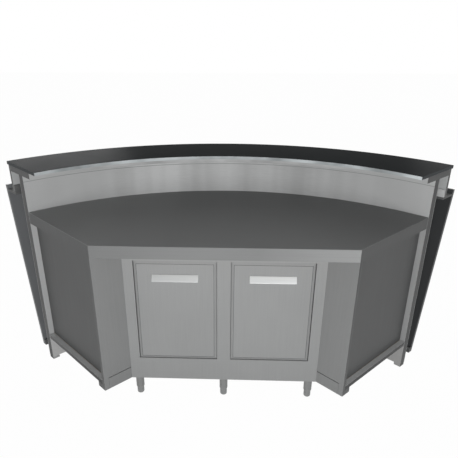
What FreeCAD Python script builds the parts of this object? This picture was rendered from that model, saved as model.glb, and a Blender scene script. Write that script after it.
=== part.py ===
import FreeCAD, Part
import math
import os
import re
import Sketcher

# A curved bar-counter module: a refrigerated cabinet under a worktop, a back wall on the arc, a raised
# bar top and a leaning cladding on the customers' side. All arcs share one centre on the floor in front
# of the counter. Lengths are millimetres. In the expressions x and y are measured from that centre, +Y
# towards the customers.

# A size that starts with an equals sign follows from the others.

SIZES = [
    # Plan
    ("sweep", 90, "angle of the module, degrees"),
    ("front_chord", 592, "arc centre to the worktop's straight front edge"),
    ("front_setback", 115, "cabinet front behind the worktop's front edge"),
    ("worktop_depth", 840, "worktop's front edge to the back wall, down the middle"),
    ("wall_r", "=front_chord + worktop_depth", "radius of the back wall's operator face"),
    ("wall_thick", 44, "back wall over both skins"),
    ("sheet_thick", 1.5, "stainless sheet"),
    ("fit_gap", 0.5, "gap between curved or sprung sheet pieces"),
    ("run_gap", 0.05, "radial play of pins and bushes"),
    ("overrun", 5, "how far every cut runs past the piece"),
    # Heights
    ("base_clear", 120, "floor to the underside of the cabinet"),
    ("bar_height", 1150, "floor to bar top"),
    ("bar_rise", 235, "worktop to bar top"),
    ("worktop_height", "=bar_height - bar_rise", "floor to worktop"),
    ("apron", 60, "turned-down edge of the worktop"),
    ("core_thick", 20, "worktop core board"),
    # Legs
    ("leg_dia", 42, "leg tube"),
    ("leg_wall", 2, "wall of the leg tube"),
    ("leg_setback", 38, "leg axis behind the cabinet front, and before its back"),
    ("leg_inset", 33, "outer leg axes inside the cabinet's sides"),
    ("foot_dia", 36, "adjustable foot"),
    ("foot_high", 45, "foot showing below the tube"),
    ("foot_round", 6, "bevel round the sole"),
    ("stem_dia", 16, "threaded stem of the foot"),
    ("stem_high", 40, "stem inside the tube"),
    # Base frame
    ("base_tube", 60, "height of the tubes under the cabinet"),
    ("tube_wide", 40, "width of those tubes"),
    ("tube_wall", 2, "wall of frame tubes and rails"),
    ("arc_rail_wide", 25, "arc rail at the foot of the wall"),
    ("arc_rail_high", 25, "its height"),
    ("side_floor_thick", 10, "floor board of the side compartments"),
    # Ends
    ("end_recess", 28, "end panel behind the end plane"),
    ("end_panel_thick", 18, "end panel"),
    ("end_rail_high", 25, "height of the end rail"),
    ("end_rail_low", "=base_clear + wing_rail_high + side_floor_thick - end_rail_high",
     "floor to the underside of the end rail"),
    ("wing_setback", 0.8, "closing panel behind the worktop's front corner, along the end plane"),
    ("wing_r", "=front_chord / cos(sweep / 2) + wing_setback",
     "arc centre to the face of the closing panel, along the end plane"),
    ("wing_thick", 20, "closing panel"),
    ("wing_reach",
     "=((wing_r + wing_rail_deep) * sin(sweep / 2) - cab_half) / cos(sweep / 2) + overrun",
     "length of the closing panel before it is cut to the cabinet"),
    ("wing_rail_high", 45, "bottom rail of the closing panel"),
    ("wing_rail_deep", 60, "its depth, and the width of the corner foot"),
    ("wing_skirt", 64, "face of that rail, up to the shadow gap"),
    ("wing_shadow", 4, "shadow gap over that rail"),
    # Cabinet
    ("mid_stile", 72, "between the doors"),
    ("side_stile", 53, "beside the doors"),
    ("bottom_rail", 130, "below the doors"),
    ("top_rail", 64, "above the doors, up to the worktop's turned-down edge"),
    ("cab_half", "=mid_stile / 2 + door_width + side_stile", "half of the cabinet's width"),
    ("cab_clear", 42.4, "cabinet's back corners to the back wall"),
    ("cab_depth", "=sqrt((wall_r - cab_clear) ^ 2 - cab_half ^ 2) - front_chord - front_setback",
     "cabinet front to back"),
    ("board_thick", 60, "insulated boards of the cold cell"),
    ("liner_thick", 1, "inner liner"),
    ("throat_thick", 18, "breaker frame behind the doors"),
    ("throat_lap", 22, "breaker frame inside the door opening"),
    # Doors
    ("door_width", 389, "door"),
    ("door_high", "=worktop_height - apron - top_rail - base_clear - bottom_rail", "door"),
    ("door_thick", 50, "door"),
    ("door_gap", 3, "round the door"),
    ("door_bevel", 12, "width of the bevel round the door's face"),
    ("door_bevel_deep", 5.5, "depth of that bevel, for the corner to pass the jamb"),
    ("door_sheet", 1.2, "door skin"),
    ("gasket_thick", 11, "gasket"),
    ("gasket_wide", 18, "width of the gasket's profile"),
    ("gasket_inset", 6, "gasket inside the door's edge"),
    ("gasket_gap", 1, "gasket to breaker frame"),
    ("hinge_inset", 14, "hinge axis from the door's face and outer edge"),
    ("pin_dia", 8, "hinge pin"),
    ("pin_hold", 24, "pin inside the frame"),
    ("pin_reach", 18, "pin inside the door's edge"),
    ("bush_dia", 14, "hinge bush"),
    ("bush_long", 22, "hinge bush"),
    ("handle_width", 219, "pull handle"),
    ("handle_drop", 65, "door's top edge to the handle"),
    ("handle_high", 31, "handle"),
    ("handle_reach", 22, "handle's lip out of the door"),
    ("handle_sheet", 2, "handle plate"),
    # Wall, bar top and cladding
    ("wall_lift", 17, "wall panels above the floor"),
    ("post_width", 40, "wall posts along the arc"),
    ("trim_high", 29, "strip under the bar box"),
    ("trim_joint", 3, "joint below that strip"),
    ("box_lap", 85, "bar box out from the back wall, over the worktop"),
    ("box_r", "=wall_r - box_lap", "inner radius of the bar box"),
    ("box_depth", 222, "bar box"),
    ("box_high", 30, "bar box"),
    ("neck_thick", 20, "neck fascia"),
    ("slab_lip", 66, "bar slab out from the box, over the worktop"),
    ("slab_drip", 16, "bar slab out from the neck, on the customers' side"),
    ("slab_r", "=box_r - slab_lip", "inner radius of the bar slab"),
    ("slab_depth", "=slab_lip + box_depth + neck_thick + slab_drip", "bar slab"),
    ("slab_thick", 16, "bar slab"),
    ("ledge_drop", 159, "ledge below the bar top"),
    ("ledge_z", "=bar_height - ledge_drop", "floor to ledge"),
    ("ledge_reach", 75, "neck to the cladding's inner face at its top"),
    ("ledge_thick", 12, "ledge"),
    ("upper_rail_high", 40, "rail inside the neck's foot"),
    ("upper_rail_thick", 10, "rail inside the neck's foot"),
    ("clad_thick", 18, "cladding panel, measured level"),
    ("clad_lip", 20, "cladding's top edge above the ledge"),
    ("clad_out", 69, "cladding's bottom edge out from the back wall"),
    ("clad_top_r", "=box_r + box_depth + neck_thick + ledge_reach + clad_thick",
     "outer radius of the cladding's top edge"),
    ("clad_foot_r", "=wall_r + wall_thick + clad_out", "outer radius of the cladding's bottom edge"),
    ("clad_top_z", "=ledge_z + clad_lip", "floor to the cladding's top edge"),
    ("clad_foot_z", 60, "floor to the cladding's bottom edge"),
    ("lower_rail_high", 35, "rail inside the cladding's foot"),
    ("lower_rail_thick", 12, "rail inside the cladding's foot"),
    ("bracket_thick", 6, "cladding brackets"),
    ("bracket_high", 100, "upper bracket at the wall"),
    ("bracket_nose", 14, "upper bracket at the cladding"),
    # Cooling unit
    ("hood_width", 400, "evaporator housing"),
    ("hood_depth", 126, "evaporator housing"),
    ("hood_high", 174, "evaporator housing"),
    ("coil_width", 340, "finned coil"),
    ("coil_depth", 44, "finned coil"),
    ("coil_high", 130, "finned coil"),
    ("fin_thick", 1, "fin"),
    ("coil_tube_dia", 10, "coil tubes"),
    ("fan_dia", 136, "impeller"),
    ("fan_ring", 8, "housing's fan hole outside the impeller"),
    ("fan_deep", 18, "hub and blades along the axis"),
    ("hub_dia", 44, "impeller hub"),
    ("blade_thick", 1.6, "impeller blade"),
    ("motor_dia", 54, "fan motor"),
    ("motor_long", 30, "fan motor"),
    ("shaft_dia", 6, "motor shaft"),
    ("spider_wide", 14, "motor bracket's bar and posts"),
    ("spider_thick", 3, "motor bracket's bar"),
    ("guard_wire", 4, "guard wire"),
    ("guard_out", 6, "guard wire axes before the housing"),
    ("tray_high", 22, "drip tray"),
    ("drain_dia", 20, "drain pipe"),
    ("drain_wall", 2, "drain pipe"),
    ("drain_inset", 40, "drain axis inside the tray's end"),
    ("probe_dia", 6, "temperature probe"),
    ("probe_long", 60, "temperature probe"),
    ("probe_off", 60, "probe beside the housing"),
    ("clip_wide", 12, "probe clip"),
    ("line_dia", 12, "refrigerant lines"),
    ("line_tail", 40, "lines behind the cabinet"),
    ("line_inset", 50, "lines inside the coil's ends"),
    # Shelves
    ("shelf_share", 0.726, "height of the wires' axes, as a share from the cell's floor to the drip tray"),
    ("shelf_floor", "=base_clear + base_tube + board_thick", "floor to the cell's floor"),
    ("tray_low", "=worktop_height - apron - board_thick - liner_thick - hood_high - tray_high",
     "floor to the drip tray"),
    ("shelf_z", "=shelf_floor + shelf_share * (tray_low - shelf_floor)", "floor to the wires' axes"),
    ("shelf_wire", 4, "cross wires"),
    ("shelf_rim", 6, "rim wires"),
    ("shelf_play", 6, "shelf to liner"),
    ("runner_wide", 14, "runner"),
    ("runner_thick", 3, "runner"),
]
WALL_POSTS = 4
COIL_FINS = 22
COIL_TUBES = 4
FAN_BLADES = 5
BLADE_PITCH = 35
BLADE_WIDTH_SHARE = 0.9
GUARD_RINGS = 3
SHELF_WIRES = 11
BRACKET_HEADINGS = (-36, -12, 12, 36)

doc = FreeCAD.newDocument("bar_counter")
sheet = doc.addObject("Spreadsheet::Sheet", "Sizes")
for row, (alias, value, note) in enumerate(SIZES, start=1):
    sheet.set(f"A{row}", note)
    sheet.set(f"B{row}", str(value))
    sheet.setAlias(f"B{row}", alias)
doc.recompute()
ALIASES = {alias for alias, value, note in SIZES}

# Levels and places that follow from the sizes above
ARC_Y = "(-(front_chord + clad_top_r) / 2)"
CAB_FRONT = "(front_chord + front_setback)"
CAB_BACK = "(front_chord + front_setback + cab_depth)"
CAB_HALF = "(cab_half)"
CAB_TOP = "(worktop_height - apron)"
UNDER_CORE = "(worktop_height - sheet_thick - core_thick)"
BASE_TOP = "(base_clear + base_tube)"
FRAME_DEPTH = "(door_thick + gasket_thick + gasket_gap)"
THROAT_Y = f"({CAB_FRONT} + {FRAME_DEPTH})"
CELL_FRONT = f"({THROAT_Y} + throat_thick)"
CELL_BACK = f"({CAB_BACK} - board_thick)"
CELL_FLOOR = f"({BASE_TOP} + board_thick)"
CELL_TOP = f"({CAB_TOP} - board_thick)"
CELL_HALF = f"({CAB_HALF} - board_thick)"
DOOR_LEFT = "(mid_stile / 2)"
DOOR_RIGHT = "(mid_stile / 2 + door_width)"
DOOR_LOW = "(base_clear + bottom_rail)"
DOOR_TOP = "(base_clear + bottom_rail + door_high)"
HINGE_X = f"({DOOR_RIGHT} - hinge_inset)"
HINGE_Y = f"({CAB_FRONT} + hinge_inset)"
FLOOR_LOW = "(base_clear + wing_rail_high)"
FLOOR_TOP = "(base_clear + wing_rail_high + side_floor_thick)"
RAIL_TOP = "(end_rail_low + end_rail_high)"
WALL_BACK = "(wall_r + wall_thick)"
SLAB_LOW = "(bar_height - slab_thick)"
WALL_TOP = "(bar_height - slab_thick - box_high)"
NECK_R = "(box_r + box_depth)"
LEDGE_R = "(box_r + box_depth - upper_rail_thick)"
LEDGE_LOW = "(ledge_z - ledge_thick)"
CLAD_LEAN = "((clad_top_r - clad_foot_r) / (clad_top_z - clad_foot_z))"
END_TURN = "(90 - sweep / 2)"
HOOD_FRONT = f"({CELL_BACK} - liner_thick - hood_depth)"
HOOD_BACK = f"({CELL_BACK} - liner_thick)"
HOOD_TOP = f"({CELL_TOP} - liner_thick)"
HOOD_LOW = f"({CELL_TOP} - liner_thick - hood_high)"
FAN_Z = f"({HOOD_LOW} + hood_high / 2)"
COIL_BACK = f"({HOOD_BACK} - sheet_thick)"
COIL_FRONT = f"({HOOD_BACK} - sheet_thick - coil_depth)"
DRAIN_X = "(hood_width / 2 - drain_inset)"
DRAIN_Y = f"({HOOD_BACK} - drain_inset)"
LINE_X = "(coil_width / 2 - line_inset)"
PARTS = []


# Helpers: sizes, places and the solids that repeat

def bound(text):
    """Point every size named in an expression at its cell in the sheet."""
    return re.sub(r"[a-z]\w*", lambda m: f"Sizes.{m[0]}" if m[0] in ALIASES else m[0], text)


def size(alias):
    return float(sheet.get(alias))


def bind(item, **sizes):
    for name, text in sizes.items():
        item.setExpression(name, bound(text))
    return item


def place(item, x="0", y="0", z="0", turn="0"):
    """Put an object at x and y from the arc centre, in axes turned about that centre."""
    item.Placement = FreeCAD.Placement(FreeCAD.Vector(), FreeCAD.Rotation(FreeCAD.Vector(0, 0, 1), 1))
    item.setExpression("Placement.Rotation.Angle", bound(turn))
    item.setExpression("Placement.Base.x", bound(f"({x}) * cos({turn}) - ({y}) * sin({turn})"))
    item.setExpression("Placement.Base.y", bound(f"({x}) * sin({turn}) + ({y}) * cos({turn}) + {ARC_Y}"))
    item.setExpression("Placement.Base.z", bound(z))
    return item


def span(limits):
    return f"({limits[1]}) - ({limits[0]})"


def box(name, x, y, z, turn="0"):
    """A block between pairs of limits."""
    block = doc.addObject("Part::Box", name)
    bind(block, Length=span(x), Width=span(y), Height=span(z))
    return place(block, x[0], y[0], z[0], turn)


def drum(name, radius, z, angle="360", heading="0", y="0"):
    """A cylinder, or a wedge of one, about the arc centre; a heading of 0 faces the customers."""
    item = doc.addObject("Part::Cylinder", name)
    bind(item, Radius=radius, Angle=angle, Height=span(z))
    place(item, "0", y, z[0])
    item.setExpression("Placement.Rotation.Angle", bound(f"90 - ({angle}) / 2 - ({heading})"))
    return item


def rod(name, radius, x, y, z):
    """A round bar along the one direction that is given as a pair of limits."""
    item = doc.addObject("Part::Cylinder", name)
    along = next(axis for axis, where in zip("xyz", (x, y, z)) if isinstance(where, tuple))
    first = [where[0] if isinstance(where, tuple) else where for where in (x, y, z)]
    bind(item, Radius=radius, Height=span({"x": x, "y": y, "z": z}[along]))
    turns = {"x": (FreeCAD.Vector(0, 1, 0), 90), "y": (FreeCAD.Vector(1, 0, 0), -90),
             "z": (FreeCAD.Vector(0, 0, 1), 0)}
    item.Placement = FreeCAD.Placement(FreeCAD.Vector(), FreeCAD.Rotation(*turns[along]))
    item.setExpression("Placement.Base.x", bound(first[0]))
    item.setExpression("Placement.Base.y", bound(f"{first[1]} + {ARC_Y}"))
    item.setExpression("Placement.Base.z", bound(first[2]))
    return item


def cut(name, base, *tools):
    tool = tools[0] if len(tools) == 1 else fuse(f"{name}_tools", *tools)
    item = doc.addObject("Part::Cut", name)
    item.Base = base
    item.Tool = tool
    return item


def fuse(name, *items):
    item = doc.addObject("Part::MultiFuse", name)
    item.Shapes = list(items)
    item.Refine = True
    return item


def common(name, *items):
    item = doc.addObject("Part::MultiCommon", name)
    item.Shapes = list(items)
    return item


def group(name, *items):
    item = doc.addObject("Part::Compound", name)
    item.Links = list(items)
    return item


def mirror(name, source):
    item = doc.addObject("Part::Mirroring", name)
    item.Source = source
    item.Normal = FreeCAD.Vector(1, 0, 0)
    return item


def part(item):
    """Count an object as a finished sub-part, under its own name."""
    item.Label = item.Name
    PARTS.append(item)
    return item


def pair(item, name):
    """The right-hand piece and its mirror image on the left."""
    part(item)
    part(mirror(name, item))


def past(z):
    return (f"{z[0]} - overrun", f"{z[1]} + overrun")


def sector(name, radii, z, angle="sweep", heading="0"):
    """A curved bar or panel between two radii."""
    blank = drum(f"{name}_blank", radii[1], z, angle, heading)
    return cut(name, blank, drum(f"{name}_bore", radii[0], past(z)))


def inside(limits, wall, opened, axis):
    """Limits drawn in by a wall, but run past the piece on an open side."""
    low = f"{limits[0]} - overrun" if f"{axis}-" in opened else f"{limits[0]} + {wall}"
    high = f"{limits[1]} + overrun" if f"{axis}+" in opened else f"{limits[1]} - {wall}"
    return (low, high)


def hollow(name, x, y, z, wall, opened, turn="0"):
    """A folded sheet box, open on the named sides."""
    room = [inside(limits, wall, opened, axis) for limits, axis in zip((x, y, z), "xyz")]
    return cut(name, box(f"{name}_blank", x, y, z, turn), box(f"{name}_room", *room, turn))


def curved_tray(name, radii, z, wall, opened):
    """A folded sheet box on the arc with closed ends, open at its top or bottom."""
    closed_angle = f"sweep - 360 * {wall} / (pi * {radii[0]})"
    room_radii = (f"{radii[0]} + {wall}", f"{radii[1]} - {wall}")
    room = sector(f"{name}_room", room_radii, inside(z, wall, opened, "z"), closed_angle)
    return cut(name, sector(f"{name}_blank_arc", radii, z), room)


def plan_block(name, edge_in, front, z):
    """The worktop's outline: straight front, ends parallel to the end planes, back on the wall's arc."""
    radius = "(wall_r - fit_gap)"
    wedge = drum(f"{name}_wedge", radius, z, "sweep", "0", f"({edge_in}) / sin(sweep / 2)")
    disc = drum(f"{name}_disc", radius, past(z))
    reach = (f"-{radius}", radius)
    return common(name, wedge, disc, box(f"{name}_front", reach, (front, radius), past(z)))


def origin_plane(body, role):
    return next(plane for plane in body.Origin.OriginFeatures if plane.Role == role)


def outline(body, name, role, *loops):
    """A sketch of closed straight-sided loops whose corners are all tied to the sheet."""
    sketch = body.newObject("Sketcher::SketchObject", name)
    sketch.AttachmentSupport = [(origin_plane(body, role), "")]
    sketch.MapMode = "FlatFace"
    for loop in loops:
        first = sketch.GeometryCount
        count = len(loop)
        angles = [2 * math.pi * step / count for step in range(count)]
        start = [FreeCAD.Vector(math.cos(angle), math.sin(angle), 0) for angle in angles]
        for step in range(count):
            sketch.addGeometry(Part.LineSegment(start[step], start[(step + 1) % count]))
        for step, (across, up) in enumerate(loop):
            line = first + step
            follower = first + (step + 1) % count
            sketch.addConstraint(Sketcher.Constraint("Coincident", line, 2, follower, 1))
            for kind, text, datum in (("DistanceX", across, start[step].x), ("DistanceY", up, start[step].y)):
                index = sketch.addConstraint(Sketcher.Constraint(kind, -1, 1, line, 1, datum))
                sketch.setExpression(f"Constraints[{index}]", bound(text))
    return sketch


def rectangle(x, z):
    return [(x[0], z[0]), (x[1], z[0]), (x[1], z[1]), (x[0], z[1])]


def new_body(name):
    return doc.addObject("PartDesign::Body", name)


def pad(body, sketch, length, midplane=False, back=False):
    feature = body.newObject("PartDesign::Pad", f"{sketch.Name}_pad")
    feature.Profile = sketch
    feature.Midplane = midplane
    feature.Reversed = back
    return bind(feature, Length=length)


def pocket(body, sketch, length, midplane=False, back=False):
    feature = body.newObject("PartDesign::Pocket", f"{sketch.Name}_pocket")
    feature.Profile = sketch
    feature.Midplane = midplane
    feature.Reversed = back
    return bind(feature, Length=length)


def copies(name, source, places):
    """Links to one solid at several places, as one group."""
    links = []
    for number, where in enumerate(places, start=1):
        link = doc.addObject("App::Link", f"{name}_{number}")
        link.LinkedObject = source
        links.append(place(link, *where))
    return group(name, *links)


# Legs: a round tube with a closed top, and a foot that screws into it

def leg_places():
    rows = (f"{CAB_FRONT} + leg_setback", f"{CAB_BACK} - leg_setback")
    outer = f"({CAB_HALF} - leg_inset)"
    return [(x, y) for y in rows for x in (f"-{outer}", "0", outer)]


def turned(name, profile):
    body = new_body(name)
    sketch = outline(body, f"{name}_profile", "XZ_Plane", profile)
    feature = body.newObject("PartDesign::Revolution", f"{name}_turn")
    feature.Profile = sketch
    feature.ReferenceAxis = (sketch, ["V_Axis"])
    feature.Angle = 360
    return body


tube = turned("leg_tube", [
    ("leg_dia / 2 - leg_wall", "foot_high"), ("leg_dia / 2", "foot_high"), ("leg_dia / 2", "base_clear"),
    ("0", "base_clear"), ("0", "base_clear - leg_wall"), ("leg_dia / 2 - leg_wall", "base_clear - leg_wall")])
part(copies("leg_tubes", tube, leg_places()))

foot = turned("leg_foot", [
    ("0", "0"), ("foot_dia / 2 - foot_round", "0"), ("foot_dia / 2", "foot_round"),
    ("foot_dia / 2", "foot_high"), ("stem_dia / 2", "foot_high"),
    ("stem_dia / 2", "foot_high + stem_high"), ("0", "foot_high + stem_high")])
collar = turned("leg_collar", [
    ("stem_dia / 2", "foot_high"), ("leg_dia / 2", "foot_high - tube_wall"), ("leg_dia / 2", "foot_high"),
    ("leg_dia / 2 - leg_wall", "foot_high"), ("leg_dia / 2 - leg_wall", "foot_high + stem_high / 2"),
    ("stem_dia / 2", "foot_high + stem_high / 2")])
part(copies("leg_feet", fuse("leg_foot_whole", foot, collar), leg_places()))

# Base: four tubes under the cabinet, and an angle along the foot of the wall

z_tube = ("base_clear", BASE_TOP)
x_tube = (f"-{CAB_HALF}", CAB_HALF)
y_front_tube = (THROAT_Y, f"{THROAT_Y} + tube_wide")
y_rear_tube = (f"{CAB_BACK} - tube_wide", CAB_BACK)
y_side_tube = (y_front_tube[1], y_rear_tube[0])
x_side_tube = (f"{CAB_HALF} - tube_wide", CAB_HALF)
side_tube = hollow("base_tube_right", x_side_tube, y_side_tube, z_tube, "tube_wall", "y-y+")
part(group(
    "base_rails",
    hollow("base_tube_front", x_tube, y_front_tube, z_tube, "tube_wall", "x-x+"),
    hollow("base_tube_rear", x_tube, y_rear_tube, z_tube, "tube_wall", "x-x+"),
    side_tube,
    mirror("base_tube_left", side_tube)))

arc_radii = ("wall_r - fit_gap - arc_rail_wide", "wall_r - fit_gap")
z_arc = (f"{FLOOR_LOW} - arc_rail_high", FLOOR_LOW)
arc_angle = "sweep - 360 * end_recess / (pi * (wall_r - arc_rail_wide))"
arc_room = sector(
    "rear_arc_rail_room", (f"{arc_radii[0]} - overrun", f"{arc_radii[1]} - tube_wall"),
    (f"{z_arc[0]} - overrun", f"{z_arc[1]} - tube_wall"))
part(cut("rear_arc_rail", sector("rear_arc_rail_blank_arc", arc_radii, z_arc, arc_angle), arc_room))

# Ends: a rail under each end, a floor board, and the panel that stands back from the end plane

WALL_MEET = "(wall_r - fit_gap - 2 * sheet_thick)"
WING_BACK = "(wing_r + wing_thick)"
rail = hollow("end_rail_right", (WING_BACK, WALL_MEET), ("0", "end_recess"), ("end_rail_low", RAIL_TOP),
              "tube_wall", "z-", END_TURN)
part(group("end_rails", rail, mirror("end_rail_left", rail)))

z_floor = (FLOOR_LOW, FLOOR_TOP)
floor_sheet = plan_block("side_floor_sheet", "end_recess", "front_chord", z_floor)
floor_cut = box("side_floor_inner", ("-wall_r", CAB_HALF), ("0", "wall_r"), past(z_floor))
wing_cut = box("side_floor_wing", ("0", WING_BACK), ("-wall_r", "wall_r"), past(z_floor), END_TURN)
floor_right = cut("side_floor_right", floor_sheet, floor_cut, wing_cut)
part(group("side_floors", floor_right, mirror("side_floor_left", floor_right)))

y_panel = ("end_recess", "end_recess + end_panel_thick")
end_panel = box("end_panel_right", (WING_BACK, WALL_MEET), y_panel, (FLOOR_TOP, UNDER_CORE), END_TURN)
pair(end_panel, "end_panel_left")

# Closing panels: a slanting panel with a corner foot, over a rail that leaves a shadow gap

cabinet_side = box("cabinet_envelope", ("-wall_r", CAB_HALF), ("0", "wall_r"), ("0", "bar_height"))
wing_y = ("0", "wing_reach")
inner_y = ("end_recess", "wing_reach")
z_wing = ("base_clear + wing_skirt + wing_shadow", CAB_TOP)
wing_face = box("closing_face", ("wing_r", WING_BACK), wing_y, z_wing, END_TURN)
wing_head = box("closing_head", ("wing_r", WING_BACK), ("2 * sheet_thick", "wing_reach"),
                (CAB_TOP, UNDER_CORE), END_TURN)
wing_corner = box("closing_corner", ("wing_r", WING_BACK), ("0", "end_recess"),
                  ("base_clear", z_wing[0]), END_TURN)
wing_foot = box("closing_foot", (WING_BACK, "wing_r + wing_rail_deep"), ("0", "end_recess"),
                ("base_clear", "end_rail_low"), END_TURN)
wing_whole = fuse("closing_whole", wing_face, wing_head, wing_corner, wing_foot)
pair(cut("closing_panel_right", wing_whole, cabinet_side), "closing_panel_left")

wing_x = ("wing_r", "wing_r + wing_rail_deep")
wing_tube = hollow("wing_tube", wing_x, inner_y, ("base_clear", FLOOR_LOW), "tube_wall", "y-y+", END_TURN)
wing_lip = box("wing_lip", ("wing_r", WING_BACK), inner_y, (FLOOR_LOW, "base_clear + wing_skirt"), END_TURN)
rail_right = cut("wing_rail_right", fuse("wing_rail_whole", wing_tube, wing_lip), cabinet_side)
part(group("wing_rails", rail_right, mirror("wing_rail_left", rail_right)))

# Cabinet: insulated boards round the cold cell, a liner, and the frames behind and round the doors

y_cell = (CELL_FRONT, CAB_BACK)
z_boards = (CELL_FLOOR, CELL_TOP)
drain_hole = rod("drain_hole", "drain_dia / 2 + fit_gap", DRAIN_X, DRAIN_Y, past((BASE_TOP, CELL_FLOOR)))
line_holes = [
    rod(f"line_hole_{side}", "line_dia / 2 + fit_gap", f"{sign}{LINE_X}", past((HOOD_BACK, CAB_BACK)), FAN_Z)
    for side, sign in (("left", "-"), ("right", ""))]
x_cabinet = (f"-{CAB_HALF}", CAB_HALF)
part(cut("cabinet_floor", box("cabinet_floor_board", x_cabinet, y_cell, (BASE_TOP, CELL_FLOOR)), drain_hole))
part(box("cabinet_ceiling", x_cabinet, y_cell, (CELL_TOP, CAB_TOP)))
back_board = box("cabinet_back_board", x_cabinet, (CELL_BACK, CAB_BACK), z_boards)
part(cut("cabinet_back", back_board, *line_holes))
pair(box("cabinet_side_right", (CELL_HALF, CAB_HALF), (CELL_FRONT, CELL_BACK), z_boards), "cabinet_side_left")

liner_room = (f"-{CELL_HALF}", CELL_HALF)
liner_pan = hollow("cabinet_liner_pan", liner_room, (CELL_FRONT, CELL_BACK), z_boards, "liner_thick", "y-")
part(cut("cabinet_liner", liner_pan, drain_hole, *line_holes))


def door_opening(grow):
    """The opening round the right-hand door, made wider on all sides by grow."""
    return ((f"{DOOR_LEFT} - door_gap - {grow}", f"{DOOR_RIGHT} + door_gap + {grow}"),
            (f"{DOOR_LOW} - door_gap - {grow}", f"{DOOR_TOP} + door_gap + {grow}"))


def both_openings(grow):
    x, z = door_opening(grow)
    return [rectangle(x, z), rectangle((f"-({x[1]})", f"-({x[0]})"), z)]


def frame_body(name, x, z, grow, depth, y):
    """A flat frame with both door openings, seen from the front."""
    body = new_body(name)
    sketch = outline(body, f"{name}_face", "XZ_Plane", rectangle(x, z), *both_openings(grow))
    pad(body, sketch, depth, back=True)
    return place(body, "0", y)


x_inner = (f"-{CAB_HALF} + sheet_thick", f"{CAB_HALF} - sheet_thick")
z_front = ("base_clear", UNDER_CORE)
z_inner = ("base_clear + sheet_thick", f"{UNDER_CORE} - sheet_thick")
pins = []
pin_holes = []
for side, sign in (("left", "-"), ("right", "")):
    for level, z in (("top", (f"{DOOR_TOP} - pin_reach", f"{DOOR_TOP} + door_gap + pin_hold")),
                     ("low", (f"{DOOR_LOW} - door_gap - pin_hold", f"{DOOR_LOW} + pin_reach"))):
        x = f"{sign}{HINGE_X}"
        pins.append(rod(f"hinge_pin_{level}_{side}", "pin_dia / 2", x, HINGE_Y, z))
        pin_holes.append(rod(f"pin_hole_{level}_{side}", "pin_dia / 2 + run_gap", x, HINGE_Y, z))
pin_tool = fuse("pin_holes", *pin_holes)

front_pan = frame_body("front_pan", x_cabinet, z_front, "0", FRAME_DEPTH, CAB_FRONT)
front_room = frame_body("front_room", x_inner, z_inner, "sheet_thick", FRAME_DEPTH,
                        f"{CAB_FRONT} + sheet_thick")
part(cut("front_frame", front_pan, front_room, pin_tool))
filler = frame_body("frame_filler_block", x_inner, z_inner, "sheet_thick", f"{FRAME_DEPTH} - sheet_thick",
                    f"{CAB_FRONT} + sheet_thick")
part(cut("frame_filler", filler, pin_tool))
part(frame_body("throat_frame", x_cabinet, (BASE_TOP, CAB_TOP), "-throat_lap", "throat_thick", THROAT_Y))
part(group("hinge_pins", *pins))

# Doors: a pan with a bevelled face, a foamed core, a gasket, two bushes and a pull handle


def door_block(name, inset, y, depth):
    """The door's form, drawn in by inset, with its face bevelled all round."""
    body = new_body(name)
    x = (f"{DOOR_LEFT} + {inset}", f"{DOOR_RIGHT} - {inset}")
    z = (f"{DOOR_LOW} + {inset}", f"{DOOR_TOP} - {inset}")
    sketch = outline(body, f"{name}_face", "XZ_Plane", rectangle(x, z))
    block = pad(body, sketch, depth, back=True)
    place(body, "0", y)
    doc.recompute()
    faces = block.Shape.Faces
    front = min(range(len(faces)), key=lambda number: faces[number].CenterOfMass.y)
    bevel = body.newObject("PartDesign::Chamfer", f"{name}_bevel")
    bevel.Base = (block, [f"Face{front + 1}"])
    bevel.ChamferType = "Two distances"
    bind(bevel, Size="door_bevel_deep", Size2="door_bevel")
    return body


door_shell = door_block("door_shell", "0", CAB_FRONT, "door_thick")
door_room = door_block("door_room", "door_sheet", f"{CAB_FRONT} + door_sheet", "door_thick + overrun")
door_filling = door_block("door_filling", "door_sheet", f"{CAB_FRONT} + door_sheet",
                          "door_thick - door_sheet")

z_bushes = {"top": (f"{DOOR_TOP} - bush_long", DOOR_TOP), "low": (DOOR_LOW, f"{DOOR_LOW} + bush_long")}
z_past = {"top": (z_bushes["top"][0], f"{DOOR_TOP} + overrun"),
          "low": (f"{DOOR_LOW} - overrun", z_bushes["low"][1])}
bushes = []
seats = []
for level, z in z_bushes.items():
    blank = rod(f"bush_{level}_blank", "bush_dia / 2", HINGE_X, HINGE_Y, z)
    bore = rod(f"bush_{level}_bore", "pin_dia / 2 + run_gap", HINGE_X, HINGE_Y, past(z))
    bushes.append(cut(f"bush_{level}", blank, bore))
    seats.append(rod(f"bush_{level}_seat", "bush_dia / 2 + run_gap", HINGE_X, HINGE_Y, z_past[level]))
seat_tool = fuse("bush_seats", *seats)

pair(cut("door_skin_right", door_shell, door_room, seat_tool), "door_skin_left")
pair(cut("door_core_right", door_filling, seat_tool), "door_core_left")
pair(group("hinge_bushes_right", *bushes), "hinge_bushes_left")

gasket_out = rectangle((f"{DOOR_LEFT} + gasket_inset", f"{DOOR_RIGHT} - gasket_inset"),
                       (f"{DOOR_LOW} + gasket_inset", f"{DOOR_TOP} - gasket_inset"))
gasket_hole = rectangle(
    (f"{DOOR_LEFT} + gasket_inset + gasket_wide", f"{DOOR_RIGHT} - gasket_inset - gasket_wide"),
    (f"{DOOR_LOW} + gasket_inset + gasket_wide", f"{DOOR_TOP} - gasket_inset - gasket_wide"))
gasket = new_body("gasket_right")
pad(gasket, outline(gasket, "gasket_ring", "XZ_Plane", gasket_out, gasket_hole), "gasket_thick", back=True)
pair(place(gasket, "0", f"{CAB_FRONT} + door_thick"), "gasket_left")

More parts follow.
